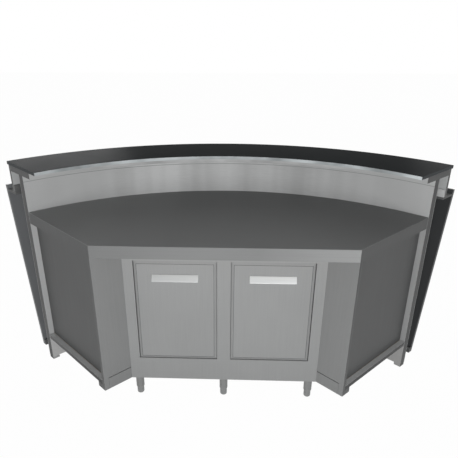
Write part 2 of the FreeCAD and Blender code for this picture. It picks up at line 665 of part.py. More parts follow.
# The handle is a hood with closed ends: its plate slopes out from the door and is open below for the fingers
handle = new_body("handle_right")
hood_outer = [("0", "0"), ("-handle_sheet", "0"), ("-handle_reach", "-handle_high"), ("0", "-handle_high")]
LIP_SLOPE = "((handle_reach - handle_sheet) / handle_high)"
PLATE_LEVEL = f"(handle_sheet * sqrt(1 + {LIP_SLOPE} * {LIP_SLOPE}))"
low_edge = "(-handle_high - overrun)"
hood_inner = [("-handle_sheet", f"-{PLATE_LEVEL} / {LIP_SLOPE}"),
              (f"-handle_sheet - {LIP_SLOPE} * (handle_high + overrun) + {PLATE_LEVEL}", low_edge),
              ("-handle_sheet", low_edge)]
pad(handle, outline(handle, "handle_hood", "YZ_Plane", hood_outer), "handle_width", midplane=True)
handle_room = outline(handle, "handle_room", "YZ_Plane", hood_inner)
pocket(handle, handle_room, "handle_width - 2 * handle_sheet", midplane=True)
place(handle, f"{DOOR_LEFT} + door_width / 2", CAB_FRONT, f"{DOOR_TOP} - handle_drop")
pair(handle, "handle_left")

# Worktop: a sheet with turned-down front and ends, its core board, and bearers on the cabinet

z_sheet = (CAB_TOP, "worktop_height")
sheet_blank = plan_block("worktop_blank", "0", "front_chord", z_sheet)
z_room = (f"{CAB_TOP} - overrun", "worktop_height - sheet_thick")
front_in = "front_chord + sheet_thick"
part(cut("worktop_sheet", sheet_blank, plan_block("worktop_room", "sheet_thick", front_in, z_room)))
part(plan_block("worktop_core", "sheet_thick", front_in, (UNDER_CORE, "worktop_height - sheet_thick")))
bearers = []
bearer_rows = (CELL_FRONT, f"({CELL_FRONT} + {CAB_BACK} - tube_wide) / 2", f"{CAB_BACK} - tube_wide")
for number, y in enumerate(bearer_rows, start=1):
    bearers.append(hollow(f"worktop_bearer_{number}", x_cabinet, (y, f"{y} + tube_wide"),
                          (CAB_TOP, UNDER_CORE), "tube_wall", "x-x+"))
part(group("worktop_bearers", *bearers))

# Back wall: posts down to the floor, core boards between them, and a skin on each side

CORE_R = "(wall_r + sheet_thick)"
CORE_BACK = "(wall_r + wall_thick - sheet_thick)"
POST_ANGLE = f"(360 * post_width / (2 * pi * {CORE_R}))"
BAY_ANGLE = f"((sweep - {POST_ANGLE}) / {WALL_POSTS - 1})"
posts = []
boards = []
for number in range(WALL_POSTS):
    heading = f"-sweep / 2 + {POST_ANGLE} / 2 + {number} * {BAY_ANGLE}"
    posts.append(sector(f"wall_post_{number + 1}", (CORE_R, CORE_BACK), ("0", WALL_TOP), POST_ANGLE, heading))
for number in range(WALL_POSTS - 1):
    heading = f"-sweep / 2 + {POST_ANGLE} / 2 + {number} * {BAY_ANGLE} + {BAY_ANGLE} / 2"
    boards.append(sector(f"wall_board_{number + 1}", (CORE_R, CORE_BACK), ("wall_lift", WALL_TOP),
                         f"({BAY_ANGLE} - {POST_ANGLE})", heading))
part(group("wall_posts", *posts))
part(group("wall_core", *boards))
part(sector("wall_skin_operator", ("wall_r", CORE_R), ("wall_lift", "worktop_height - sheet_thick")))
splash_z = ("worktop_height - sheet_thick", f"{WALL_TOP} - trim_high - trim_joint")
splash = sector("backsplash_sheet", ("wall_r", CORE_R), splash_z)
trim = sector("backsplash_trim", ("wall_r", CORE_R), (f"{WALL_TOP} - trim_high", WALL_TOP))
part(group("backsplash", splash, trim))
part(sector("wall_skin_customer", (CORE_BACK, WALL_BACK), ("wall_lift", WALL_TOP)))

# Bar top: a steel box on the posts under a thin black slab, and the neck that hangs from its far edge

part(curved_tray("bar_box", ("box_r", NECK_R), (WALL_TOP, SLAB_LOW), "sheet_thick", "z+"))
part(sector("bar_slab", ("slab_r", "slab_r + slab_depth"), (SLAB_LOW, "bar_height")))
neck_radii = (NECK_R, f"{NECK_R} + neck_thick")
part(curved_tray("neck_fascia", neck_radii, ("ledge_z", SLAB_LOW), "sheet_thick", "z-"))
part(sector("upper_rail", (LEDGE_R, f"{NECK_R} - run_gap"), ("ledge_z", "ledge_z + upper_rail_high")))

# Cladding: a ledge, a leaning panel on the arc, its lower rail and the brackets that carry them


def clad_inner(z):
    """Inner radius of the leaning panel at a height."""
    return f"(clad_top_r - clad_thick - (clad_top_z - ({z})) * {CLAD_LEAN})"


ledge_out = f"{clad_inner(LEDGE_LOW)} - fit_gap"
part(curved_tray("ledge", (LEDGE_R, ledge_out), (LEDGE_LOW, "ledge_z"), "sheet_thick", "z-"))


def leaning(name, foot, top, z, angle):
    cone = doc.addObject("Part::Cone", name)
    bind(cone, Radius1=foot, Radius2=top, Height=span(z), Angle=angle)
    place(cone, "0", "0", z[0])
    cone.setExpression("Placement.Rotation.Angle", bound(f"90 - ({angle}) / 2"))
    return cone


z_clad = ("clad_foot_z", "clad_top_z")
clad_blank = leaning("cladding_blank", "clad_foot_r", "clad_top_r", z_clad, "sweep")
z_long = past(z_clad)
clad_room = leaning("cladding_room", clad_inner(z_long[0]), clad_inner(z_long[1]), z_long, "360")
part(cut("cladding_panel", clad_blank, clad_room))
rail_out = f"{clad_inner('clad_foot_z')} - fit_gap"
z_lower = ("clad_foot_z", "clad_foot_z + lower_rail_high")
part(sector("lower_rail", (f"{rail_out} - lower_rail_thick", rail_out), z_lower))

bracket = new_body("bracket_upper")
wall_side = f"{WALL_BACK} + fit_gap"
clad_side = f"{clad_inner(LEDGE_LOW + ' - bracket_nose')} - fit_gap"
gusset = [(wall_side, LEDGE_LOW), (wall_side, f"{LEDGE_LOW} - bracket_high"),
          (f"{wall_side} + bracket_nose", f"{LEDGE_LOW} - bracket_high"),
          (clad_side, f"{LEDGE_LOW} - bracket_nose"), (clad_side, LEDGE_LOW)]
pad(bracket, outline(bracket, "bracket_gusset", "XZ_Plane", gusset), "bracket_thick", midplane=True)
strut = new_body("bracket_lower")
strut_x = (wall_side, f"{rail_out} - lower_rail_thick - fit_gap")
strut_face = outline(strut, "bracket_strut", "XZ_Plane", rectangle(strut_x, z_lower))
pad(strut, strut_face, "bracket_thick", midplane=True)
headings = [("0", "0", "0", f"90 - ({heading}) * sweep / 90") for heading in BRACKET_HEADINGS]
part(group("cladding_brackets", copies("brackets_upper", bracket, headings),
           copies("brackets_lower", strut, headings)))

# Cooling unit: a hood under the cell's ceiling with the coil, the fan, a drip tray and its pipes

x_hood = ("-hood_width / 2", "hood_width / 2")
hood = hollow("evaporator_hood", x_hood, (HOOD_FRONT, HOOD_BACK), (HOOD_LOW, HOOD_TOP), "sheet_thick", "z-")
hood_face = (HOOD_FRONT, f"{HOOD_FRONT} + sheet_thick")
fan_hole = rod("hood_fan_hole", "fan_dia / 2 + fan_ring", "0", past(hood_face), FAN_Z)
part(cut("evaporator_housing", hood, fan_hole, *line_holes))

coil_z = (f"{FAN_Z} - coil_high / 2", f"{FAN_Z} + coil_high / 2")
fins = []
for number in range(COIL_FINS):
    x = f"-coil_width / 2 + {number} * (coil_width - fin_thick) / {COIL_FINS - 1}"
    fins.append(box(f"coil_fin_{number + 1}", (x, f"{x} + fin_thick"), (COIL_FRONT, COIL_BACK), coil_z))
for number in range(COIL_TUBES):
    z = f"{coil_z[0]} + coil_high * {2 * number + 1} / {2 * COIL_TUBES}"
    x = ("-coil_width / 2 - coil_tube_dia", "coil_width / 2 + coil_tube_dia")
    y = f"({COIL_FRONT} + {COIL_BACK}) / 2"
    fins.append(rod(f"coil_tube_{number + 1}", "coil_tube_dia / 2", x, y, z))
part(fuse("evaporator_coil", *fins))

IMPELLER_Y = f"({HOOD_FRONT} + sheet_thick + fit_gap)"
MOTOR_Y = f"({IMPELLER_Y} + fan_deep + 2 * fit_gap)"
MOTOR_BACK = f"({MOTOR_Y} + motor_long)"
POST_X = "(fan_dia / 2 + fan_ring + spider_wide / 2)"
z_spider = (f"{FAN_Z} - spider_wide / 2", f"{FAN_Z} + spider_wide / 2")
motor = [
    rod("motor_can", "motor_dia / 2", "0", (MOTOR_Y, MOTOR_BACK), FAN_Z),
    rod("motor_shaft", "shaft_dia / 2", "0", (IMPELLER_Y, MOTOR_Y), FAN_Z),
    box("motor_bar", (f"-{POST_X}", POST_X), (f"{MOTOR_BACK} - spider_thick", MOTOR_BACK), z_spider)]
for side, sign in (("left", "-"), ("right", "")):
    post_y = (f"{HOOD_FRONT} + sheet_thick", f"{MOTOR_BACK} - spider_thick")
    motor.append(rod(f"motor_post_{side}", "spider_wide / 2", f"{sign}{POST_X}", post_y, FAN_Z))
part(fuse("fan_motor", *motor))


def impeller_shape():
    """Hub and pitched blades about the Y axis, with its front face in the plane y = 0."""
    axis = FreeCAD.Vector(0, 1, 0)
    hub_r = size("hub_dia") / 2
    deep = size("fan_deep")
    hub = Part.makeCylinder(hub_r, deep, FreeCAD.Vector(), axis)
    wide = (deep - size("blade_thick")) / math.sin(math.radians(BLADE_PITCH)) * BLADE_WIDTH_SHARE
    root = hub_r - size("blade_thick")
    shape = hub
    for number in range(FAN_BLADES):
        blade = Part.makeBox(wide, size("blade_thick"), size("fan_dia") / 2 - root)
        blade.translate(FreeCAD.Vector(-wide / 2, -size("blade_thick") / 2, root))
        blade.rotate(FreeCAD.Vector(), FreeCAD.Vector(0, 0, 1), BLADE_PITCH)
        blade.translate(FreeCAD.Vector(0, deep / 2, 0))
        blade.rotate(FreeCAD.Vector(), axis, 360 * number / FAN_BLADES)
        shape = shape.fuse(blade)
    bore = Part.makeCylinder(size("shaft_dia") / 2 + size("run_gap"), deep, FreeCAD.Vector(), axis)
    rim = Part.makeCylinder(size("fan_dia") / 2, deep, FreeCAD.Vector(), axis)
    return shape.common(rim).cut(bore)


impeller = doc.addObject("Part::Feature", "fan_impeller")
impeller.Shape = impeller_shape()
part(place(impeller, "0", IMPELLER_Y, FAN_Z))

GUARD_Y = f"({HOOD_FRONT} - guard_out)"
guard = []
for number in range(1, GUARD_RINGS + 1):
    ring = doc.addObject("Part::Torus", f"guard_ring_{number}")
    bind(ring, Radius1=f"(fan_dia / 2 + fan_ring) * {number} / {GUARD_RINGS}", Radius2="guard_wire / 2")
    ring.Placement = FreeCAD.Placement(FreeCAD.Vector(), FreeCAD.Rotation(FreeCAD.Vector(1, 0, 0), -90))
    ring.setExpression("Placement.Base.y", bound(f"{GUARD_Y} + {ARC_Y}"))
    ring.setExpression("Placement.Base.z", bound(FAN_Z))
    guard.append(ring)
GUARD_R = "(fan_dia / 2 + fan_ring + spider_wide / 2)"
guard.append(rod("guard_bar_level", "guard_wire / 2", (f"-{GUARD_R}", GUARD_R), GUARD_Y, FAN_Z))
z_guard = (f"{FAN_Z} - {GUARD_R}", f"{FAN_Z} + {GUARD_R}")
guard.append(rod("guard_bar_upright", "guard_wire / 2", "0", GUARD_Y, z_guard))
for name, x, z in (("left", f"-{GUARD_R}", FAN_Z), ("right", GUARD_R, FAN_Z),
                   ("low", "0", f"{FAN_Z} - {GUARD_R}"), ("top", "0", f"{FAN_Z} + {GUARD_R}")):
    guard.append(rod(f"guard_leg_{name}", "guard_wire / 2", x, (GUARD_Y, HOOD_FRONT), z))
part(fuse("fan_guard", *guard))

z_tray = (f"{HOOD_LOW} - tray_high", HOOD_LOW)
tray = hollow("drip_tray_pan", x_hood, (HOOD_FRONT, HOOD_BACK), z_tray, "sheet_thick", "z+")
drain_bore = rod("drip_tray_hole", "drain_dia / 2 - drain_wall", DRAIN_X, DRAIN_Y, past(z_tray))
part(cut("drip_tray", tray, drain_bore))
z_drain = ("base_clear", z_tray[0])
drain_blank = rod("drain_blank", "drain_dia / 2", DRAIN_X, DRAIN_Y, z_drain)
part(cut("drain_pipe", drain_blank,
         rod("drain_bore", "drain_dia / 2 - drain_wall", DRAIN_X, DRAIN_Y, past(z_drain))))

PROBE_X = "(-hood_width / 2 - probe_off)"
PROBE_Y = f"({HOOD_BACK} - probe_dia)"
z_bulb = (f"{FAN_Z} - probe_long / 2", f"{FAN_Z} + probe_long / 2")
bulb = rod("probe_bulb", "probe_dia / 2", PROBE_X, PROBE_Y, z_bulb)
clip = box("probe_clip", (f"{PROBE_X} - clip_wide / 2", f"{PROBE_X} + clip_wide / 2"),
           (f"{PROBE_Y} - probe_dia", HOOD_BACK), (f"{FAN_Z} - clip_wide / 2", f"{FAN_Z} + clip_wide / 2"))
part(fuse("temperature_probe", bulb, clip))
part(group("refrigerant_lines", *[
    rod(f"line_{side}", "line_dia / 2", f"{sign}{LINE_X}", (COIL_BACK, f"{CAB_BACK} + line_tail"), FAN_Z)
    for side, sign in (("left", "-"), ("right", ""))]))

# Shelves: a wire grid behind each door, carried by runners at the cell's sides and down its middle

RIM = "(shelf_rim / 2)"
shelf_x = (f"(shelf_play + {RIM})", f"({CELL_HALF} - liner_thick - shelf_play - {RIM})")
shelf_y = (f"({CELL_FRONT} + shelf_play + {RIM})", f"({CELL_BACK} - liner_thick - shelf_play - {RIM})")
wires = []
for number, y in enumerate(shelf_y):
    long_rim = (f"{shelf_x[0]} - {RIM}", f"{shelf_x[1]} + {RIM}")
    wires.append(rod(f"shelf_rim_x{number}", RIM, long_rim, y, "shelf_z"))
for number, x in enumerate(shelf_x):
    wires.append(rod(f"shelf_side_{number}", "shelf_wire / 2", x, shelf_y, "shelf_z"))
for number in range(1, SHELF_WIRES + 1):
    x = f"{shelf_x[0]} + ({shelf_x[1]} - {shelf_x[0]}) * {number} / {SHELF_WIRES + 1}"
    wires.append(rod(f"shelf_wire_{number}", "shelf_wire / 2", x, shelf_y, "shelf_z"))
pair(fuse("shelf_right", *wires), "shelf_left")

z_runner = (f"shelf_z - {RIM} - runner_thick", f"shelf_z - {RIM}")
y_runner = (CELL_FRONT, f"{CELL_BACK} - liner_thick")
side_runner = box("runner_right", (f"{CELL_HALF} - liner_thick - runner_wide", f"{CELL_HALF} - liner_thick"),
                  y_runner, z_runner)
middle_runner = box("runner_middle", ("-runner_wide", "runner_wide"), y_runner, z_runner)
part(group("shelf_runners", side_runner, middle_runner, mirror("runner_left", side_runner)))

# Build, check every object, and write one file for each sub-part

doc.recompute()
failed = [item.Name for item in doc.Objects if {"Invalid", "Error"} & set(item.State)]
failed += [item.Name for item in PARTS if item.Shape.isNull() or not item.Shape.isValid()]
if failed:
    raise RuntimeError(f"failed objects: {failed}")
os.makedirs("parts", exist_ok=True)
for item in PARTS:
    item.Shape.exportStep(f"parts/{item.Label}.step")
    print(f"{item.Label}: {len(item.Shape.Solids)} solids, {item.Shape.Volume / 1000:.1f} cm3")
print(f"{len(PARTS)} sub-parts")
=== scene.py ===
# %% [markdown]
# # A curved refrigerated bar counter
#
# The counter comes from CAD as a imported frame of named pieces. This lesson dresses that frame: it keeps the
# pieces whose shape is right, replaces the ones that need folds, radii or soft rubber, and gives every
# piece a finish made of nodes. The frame is loaded first, because every new piece takes its place from it.

# %% Load the frame
import math

import bmesh
import bpy
from mathutils import Euler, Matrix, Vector


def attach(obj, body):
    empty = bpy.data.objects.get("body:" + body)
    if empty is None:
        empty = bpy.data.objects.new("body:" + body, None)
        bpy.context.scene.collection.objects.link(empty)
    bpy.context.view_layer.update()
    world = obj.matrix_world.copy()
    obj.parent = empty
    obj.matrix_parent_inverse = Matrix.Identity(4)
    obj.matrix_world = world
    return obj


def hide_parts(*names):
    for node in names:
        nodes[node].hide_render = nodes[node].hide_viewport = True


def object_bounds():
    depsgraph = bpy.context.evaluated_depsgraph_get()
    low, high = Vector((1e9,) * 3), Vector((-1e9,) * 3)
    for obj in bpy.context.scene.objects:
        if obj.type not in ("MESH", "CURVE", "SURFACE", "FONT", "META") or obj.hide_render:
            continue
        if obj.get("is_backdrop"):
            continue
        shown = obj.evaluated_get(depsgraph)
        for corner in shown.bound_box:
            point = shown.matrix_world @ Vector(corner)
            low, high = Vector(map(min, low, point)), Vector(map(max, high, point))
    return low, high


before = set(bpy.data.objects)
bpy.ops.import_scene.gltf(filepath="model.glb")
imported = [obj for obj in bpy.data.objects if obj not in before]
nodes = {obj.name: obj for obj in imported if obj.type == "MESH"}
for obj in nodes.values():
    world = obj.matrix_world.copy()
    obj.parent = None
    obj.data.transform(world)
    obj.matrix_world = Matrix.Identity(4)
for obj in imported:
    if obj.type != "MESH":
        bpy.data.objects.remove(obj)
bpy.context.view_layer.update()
print("frame:", len(nodes), "pieces")

# %% [markdown]
# The arcs of the counter share one centre, on the floor in front of it. All sizes below are the real ones in
# millimetres, turned to metres by one small function, so that a number can be read against a tape measure. A
# heading is an angle at the arc centre: 0 faces the customers, and the two ends are at 45 degrees.

# %% Sizes that the new pieces share
SWEEP = math.radians(90)
END = SWEEP / 2
ARC_STEPS = 96


def mm(value):
    return value / 1000


ARC_CENTRE = Vector((0, mm(-1137), 0))


def on_arc(radius, z, heading=-END):
    """A point at a radius and a height in mm, in the vertical plane of a heading."""
    return ARC_CENTRE + Vector((mm(radius) * math.sin(heading), mm(radius) * math.cos(heading), mm(z)))


print("the left end of the arc lies towards", [round(v, 3) for v in on_arc(1000, 0) - ARC_CENTRE])

# %% [markdown]
# The view is a lens of moderate length from standing height, a little right of the middle, looking down at
# the worktop. The lens shift keeps the picture's framing without tilting the uprights any further.

# %% Camera
camera_data = bpy.data.cameras.new("camera")
camera_data.sensor_width = 36
camera_data.lens = 39.65
camera_data.shift_x = 0.0240
camera_data.shift_y = 0.0930
camera = bpy.data.objects.new("camera", camera_data)
camera.location = (0.0529, -2.5447, 1.7764)
camera.rotation_euler = Euler((math.radians(64.01), 0, math.radians(2.19)))
bpy.context.scene.collection.objects.link(camera)
bpy.context.scene.camera = camera
print("camera at", tuple(camera.location))

# %% [markdown]
# Node materials are wired with one small function: it adds a node, sets what is given by name and links what
# is given as a socket. Colours are written as sRGB hex values, as a paint chart does, and turned to linear.

# %% Colours and nodes


def linear(hex_colour):
    """An sRGB hex colour as linear RGBA."""
    parts = [int(hex_colour[i:i + 2], 16) / 255 for i in (1, 3, 5)]
    return [p / 12.92 if p <= 0.04045 else ((p + 0.055) / 1.055) ** 2.4 for p in parts] + [1]


def shade(hex_colour, factor):
    """A lighter or darker linear form of an sRGB hex colour."""
    return [min(1, c * factor) for c in linear(hex_colour)[:3]] + [1]


def add(tree, kind, settings=None, **sockets):
    """Add a node; settings are its properties, and sockets its inputs as values or links."""
    node = tree.nodes.new(kind)
    for key, value in (settings or {}).items():
        setattr(node, key, value)
    for key, value in sockets.items():
        name = key.replace("_", " ")
        socket = node.inputs[int(key[1:])] if key[0] == "i" and key[1:].isdigit() else node.inputs[name]
        if isinstance(value, bpy.types.NodeSocket):
            tree.links.new(value, socket)
        else:
            socket.default_value = value
    return node


def new_material(name):
    material = bpy.data.materials.new(name)
    material.use_nodes = True
    tree = material.node_tree
    tree.nodes.clear()
    return material, tree


print("white is", linear("#ffffff")[:3])

# %% [markdown]
# The studio is a pale floor and a white surround. The floor is mostly white to the camera and to reflections,
# and keeps a faint shadow of the counter.

# %% Floor and surround
FLOOR_WIDE = 40
FLOOR_GLOW = 0.985
AMBIENT = 0.13


def plainly_seen(tree):
    """A socket that is 1 for what the camera sees, directly, in a reflection or through glass."""
    rays = add(tree, "ShaderNodeLightPath")
    seen = add(tree, "ShaderNodeMath", {"operation": "MAXIMUM"}, i0=rays.outputs["Is Camera Ray"],
               i1=rays.outputs["Is Glossy Ray"])
    seen = add(tree, "ShaderNodeMath", {"operation": "MAXIMUM"}, i0=seen.outputs[0],
               i1=rays.outputs["Is Transmission Ray"])
    return seen.outputs[0]


bpy.ops.object.select_all(action="DESELECT")
bpy.ops.mesh.primitive_plane_add(size=FLOOR_WIDE, location=(0, 0, 0))
floor = bpy.context.object
floor.name = "studio_floor"
floor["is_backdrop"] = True
floor_paint, tree = new_material("matt_white_studio_floor")
share = add(tree, "ShaderNodeMath", {"operation": "MULTIPLY"}, i0=plainly_seen(tree), i1=FLOOR_GLOW)
paint = add(tree, "ShaderNodeBsdfDiffuse", Color=linear("#e8e8e8"))
glow = add(tree, "ShaderNodeEmission", Color=linear("#ffffff"), Strength=1.0)
mixed = add(tree, "ShaderNodeMixShader", i0=share.outputs[0], i1=paint.outputs[0], i2=glow.outputs[0])
add(tree, "ShaderNodeOutputMaterial", Surface=mixed.outputs[0])
floor.data.materials.append(floor_paint)

world = bpy.data.worlds.new("white_surround")
bpy.context.scene.world = world
world.use_nodes = True
tree = world.node_tree
tree.nodes.clear()
soft = add(tree, "ShaderNodeBackground", Color=linear("#ffffff"), Strength=AMBIENT)
white = add(tree, "ShaderNodeBackground", Color=linear("#ffffff"), Strength=1.0)
mixed = add(tree, "ShaderNodeMixShader", i0=plainly_seen(tree), i1=soft.outputs[0], i2=white.outputs[0])
add(tree, "ShaderNodeOutputWorld", Surface=mixed.outputs[0])
print("floor and surround made")

# %% [markdown]
# The main light is a tall soft panel in front, near the arc centre. From there the fronts and the backsplash
# face the light, while the worktop and the radial ends only catch it at a slant, as in the photograph. A low
# panel behind lights the customers' side, and two dim ones high at the back give the ends of the bar top
# their sheen, more on the left than on the right.

# %% Studio lamps


def lamp(name, place, aim, size, power):
    """A soft panel; size is its width and height in metres, and power is in watts."""
    data = bpy.data.lights.new(name, "AREA")
    data.shape = "ELLIPSE"
    data.size, data.size_y = size
    data.energy = power
    item = bpy.data.objects.new(name, data)
    item.location = place
    item.rotation_euler = (Vector(aim) - Vector(place)).to_track_quat("-Z", "Y").to_euler()
    bpy.context.scene.collection.objects.link(item)


lamp("front_panel", (0.05, -3.0, 1.1), (0.05, 0, 0.8), (0.8, 1.1), 49)
lamp("rear_panel", (0.0, 3.4, 0.45), (0, 0, 0.6), (0.8, 0.6), 60)
lamp("bar_sheen_panel", (-2.6, 4.0, 2.2), (-0.8, 0, 1.15), (2.5, 1.4), 44)
lamp("bar_end_panel", (2.85, 4.0, 2.05), (1.1, 0.2, 1.15), (1.0, 0.9), 6)
bpy.context.scene.view_settings.view_transform = "Standard"
print("four lamps")

# %% [markdown]
# Most of the counter is stainless sheet. Sheet for kitchens comes with a fine satin grain, ground in with a
# belt. The grain is under half a millimetre wide, too fine to show here, so it is drawn some millimetres
# wide and faint. Noise that is stretched along the grain shifts both the colour and the roughness, and a
# little of it goes to bump, which is how real grain smears a highlight. A second, broad noise gives the soft
# clouds that large sheets show. The grain scatters so much light that the sheet looks matt, so only a part
# of the shader is metal, matched to the photograph.

# %% Stainless sheet
# The share of the clouds that is left where they have faded.
CALMED = 0.2
# Most of a noise lies between the first two numbers, and a sum of noises within the third of its middle.
NOISE_LOW, NOISE_HIGH, NOISE_REACH = 0.3, 0.7, 0.16
# A face at the counter's ends, which gets painted shade, looks outwards by more than the first number, and
# towards the customers by less than the second.
END_SHADE_OUTWARDS, END_SHADE_TO_CUSTOMERS = 0.05, 0.2


def stainless(name, colour, rough, grain, cloud=(420, 420, 420), streak=0.05, metallic=0.12, level=0.25,
              cloudy=0.9, shift=0.0, calm=None, across=(-500, 500), painted_top_light=None, painted_end_shade=None):
    """Satin stainless sheet. grain and cloud: how wide the streaks and clouds are in mm along x, y and z.

    colour is one colour, or two that blend from left to right between the two places across, in mm. streak is
    how far grain and clouds change it, and cloudy how much stronger than the grain the clouds are. shift
    moves the clouds, counted in their own heights, and calm is where they begin and end to fade, in mm from
    the middle. The last two give the colour of upward faces, a painted light on their tops, and the colour of
    the faces at the counter's ends, a painted shade.
    """
    material, tree = new_material(name)
    spot = add(tree, "ShaderNodeTexCoord")
    where = spot.outputs["Object"]
    place = add(tree, "ShaderNodeSeparateXYZ", Vector=where)
    facing = add(tree, "ShaderNodeSeparateXYZ", Vector=spot.outputs["Normal"])
    along = add(tree, "ShaderNodeMapping", Vector=where, Scale=[1 / mm(width) for width in grain])
    fine = add(tree, "ShaderNodeTexNoise", Vector=along.outputs[0], Scale=1.0, Detail=3.0, Roughness=0.6)
    broad = add(tree, "ShaderNodeMapping", Vector=where, Location=(0, 0, shift),
                Scale=[1 / mm(width) for width in cloud])
    patches = add(tree, "ShaderNodeTexNoise", Vector=broad.outputs[0], Scale=1.0, Detail=2.0, Roughness=0.5)
    both = add(tree, "ShaderNodeMath", {"operation": "MULTIPLY_ADD"}, i0=patches.outputs["Fac"], i1=cloudy,
               i2=fine.outputs["Fac"])
    middle, reach = (1 + cloudy) / 2, NOISE_REACH * (1 + cloudy)
    vary = add(tree, "ShaderNodeMapRange", i0=both.outputs[0], i1=middle - reach, i2=middle + reach,
               i3=1 - streak, i4=1 + streak)
    if calm:
        aside = add(tree, "ShaderNodeMath", {"operation": "ABSOLUTE"}, i0=place.outputs[0])
        lively = add(tree, "ShaderNodeMapRange", i0=aside.outputs[0], i1=mm(calm[0]), i2=mm(calm[1]),
                     i3=1.0, i4=CALMED)
        vary = add(tree, "ShaderNodeMix", {"data_type": "FLOAT"}, Factor=lively.outputs[0], i2=1.0,
                   i3=vary.outputs[0])
    if isinstance(colour, tuple):
        at_right = add(tree, "ShaderNodeMapRange", i0=place.outputs[0], i1=mm(across[0]), i2=mm(across[1]))
        base = add(tree, "ShaderNodeMix", {"data_type": "RGBA"}, Factor=at_right.outputs[0],
                   i6=linear(colour[0]), i7=linear(colour[1])).outputs[2]
    else:
        base = linear(colour)
    tint = add(tree, "ShaderNodeMix", {"data_type": "RGBA", "blend_type": "MULTIPLY"}, Factor=1.0, i6=base,
               i7=vary.outputs[0])
    # Upward faces blend to a lighter colour: a painted light on their tops.
    if painted_top_light:
        tint = add(tree, "ShaderNodeMix", {"data_type": "RGBA"}, Factor=facing.outputs[2],
                   i6=tint.outputs[2], i7=linear(painted_top_light))
    # Faces at the counter's ends blend to a darker colour: a painted shade.
    if painted_end_shade:
        outwards = add(tree, "ShaderNodeMath", {"operation": "MULTIPLY"}, i0=place.outputs[0],
                       i1=facing.outputs[0])
        at_end = add(tree, "ShaderNodeMath", {"operation": "GREATER_THAN"}, i0=outwards.outputs[0],
                     i1=END_SHADE_OUTWARDS)
        to_staff = add(tree, "ShaderNodeMath", {"operation": "LESS_THAN"}, i0=facing.outputs[1],
                       i1=END_SHADE_TO_CUSTOMERS)
        is_painted_end_shade = add(tree, "ShaderNodeMath", {"operation": "MULTIPLY"}, i0=at_end.outputs[0],
                     i1=to_staff.outputs[0])
        tint = add(tree, "ShaderNodeMix", {"data_type": "RGBA"}, Factor=is_painted_end_shade.outputs[0],
                   i6=tint.outputs[2], i7=linear(painted_end_shade))
    shine = add(tree, "ShaderNodeMapRange", i0=fine.outputs["Fac"], i1=NOISE_LOW, i2=NOISE_HIGH,
                i3=rough - 0.05, i4=rough + 0.06)
    bump = add(tree, "ShaderNodeBump", Strength=0.08, Distance=mm(0.3), Height=fine.outputs["Fac"])
    steel = add(tree, "ShaderNodeBsdfPrincipled", Metallic=metallic, Base_Color=tint.outputs[2],
                Roughness=shine.outputs[0], Normal=bump.outputs[0], Specular_IOR_Level=level)
    add(tree, "ShaderNodeOutputMaterial", Surface=steel.outputs[0])
    return material


# Doors and front frame: upright grain, an even mid grey with hardly any gloss.
FRONT_STEEL = stainless("satin_stainless_fronts", "#9b9c9c", 0.5, (5, 5, 260), metallic=0.06, level=0.1)
print(FRONT_STEEL.name, "has", len(FRONT_STEEL.node_tree.nodes), "nodes")

# %% [markdown]
# The other sheets come from the same function with other numbers, so that they stay one family. They differ
# in the direction of the grain, in their grey, which is matched to the photograph sheet by sheet, and in how
# much the clouds show. Where a sheet changes its grey along the counter, two colours blend.

# %% Stainless finishes
# Closing panels: the same sheet, a shade darker as it turns from the light, with their ends painted dark as
# shade.
WING_STEEL = stainless("satin_stainless_closing_panels", "#898a8a", 0.45, (5, 5, 260), painted_end_shade="#5d5e5e")
# Worktop: grain along the counter, dark because it is seen at a slant, and lighter at its left end, which is
# painted light.
TOP_STEEL = stainless("satin_stainless_worktop", ("#949595", "#7e7f7f"), 0.5, (500, 6, 6),
                      across=(-650, -250))
# Turned-down front edge of the worktop: the same grain round the fold, brighter to the right, which is
# painted light.
APRON_STEEL = stainless("satin_stainless_worktop_edge", ("#848585", "#9e9f9f"), 0.5, (500, 6, 6),
                        metallic=0.05, level=0.1, across=(150, 600))
# End panels, which stand radially, and the ledge: dull, and dark as painted shade where they turn from the
# light.
END_STEEL = stainless("satin_stainless_ends", "#5d5e5e", 0.5, (5, 5, 260))
# End rails: sides painted dark as shade, and tops painted light where light falls on the upward faces.
RAIL_STEEL = stainless("satin_stainless_rails", "#424343", 0.5, (40, 40, 4), painted_top_light="#c4c5c5")
# Wall behind the end panels: a lighter upright strip, lightest at the left, which is painted light.
SKIN_STEEL = stainless("satin_stainless_wall_skin", ("#c0c1c1", "#adaeae"), 0.45, (5, 5, 260))
# Wall posts: as light as the skin beside them, with their end faces painted dark as shade.
POST_STEEL = stainless("satin_stainless_posts", "#adaeae", 0.5, (5, 5, 260), painted_end_shade="#525353")
# Backsplash: the brightest sheet, with soft upright bands of painted highlight where the middle of the arc
# catches the light.
WALL_STEEL = stainless("satin_stainless_backsplash", "#c4c5c5", 0.45, (60, 60, 5), (150, 150, 2500),
                       streak=0.2, metallic=0.05, level=0.1, cloudy=5, shift=2.49, calm=(450, 800))
# Fascia under the bar top: pale, lightened as painted light where its inner face lies in shade, with its
# grain along the arc, and ends painted dark as shade.
NECK_STEEL = stainless("satin_stainless_neck", "#c4c6c6", 0.4, (60, 60, 5), painted_end_shade="#565757")
# Rail at the fascia's foot: its left end lies in shade and its right end shines.
NECK_RAIL_STEEL = stainless("satin_stainless_neck_rail", ("#5e5f5f", "#c8c9c9"), 0.45, (60, 60, 5))
# Legs, base frame and bearers: drawn tube with a fine grain along it.
TUBE_STEEL = stainless("satin_stainless_tube", "#8c8d8d", 0.4, (3, 3, 120))
# Cell liner: bright annealed sheet, smoother and more mirror-like than the outside.
LINER_STEEL = stainless("bright_annealed_stainless_liner", "#a9abab", 0.38, (200, 4, 4), streak=0.03,
                        metallic=0.25)
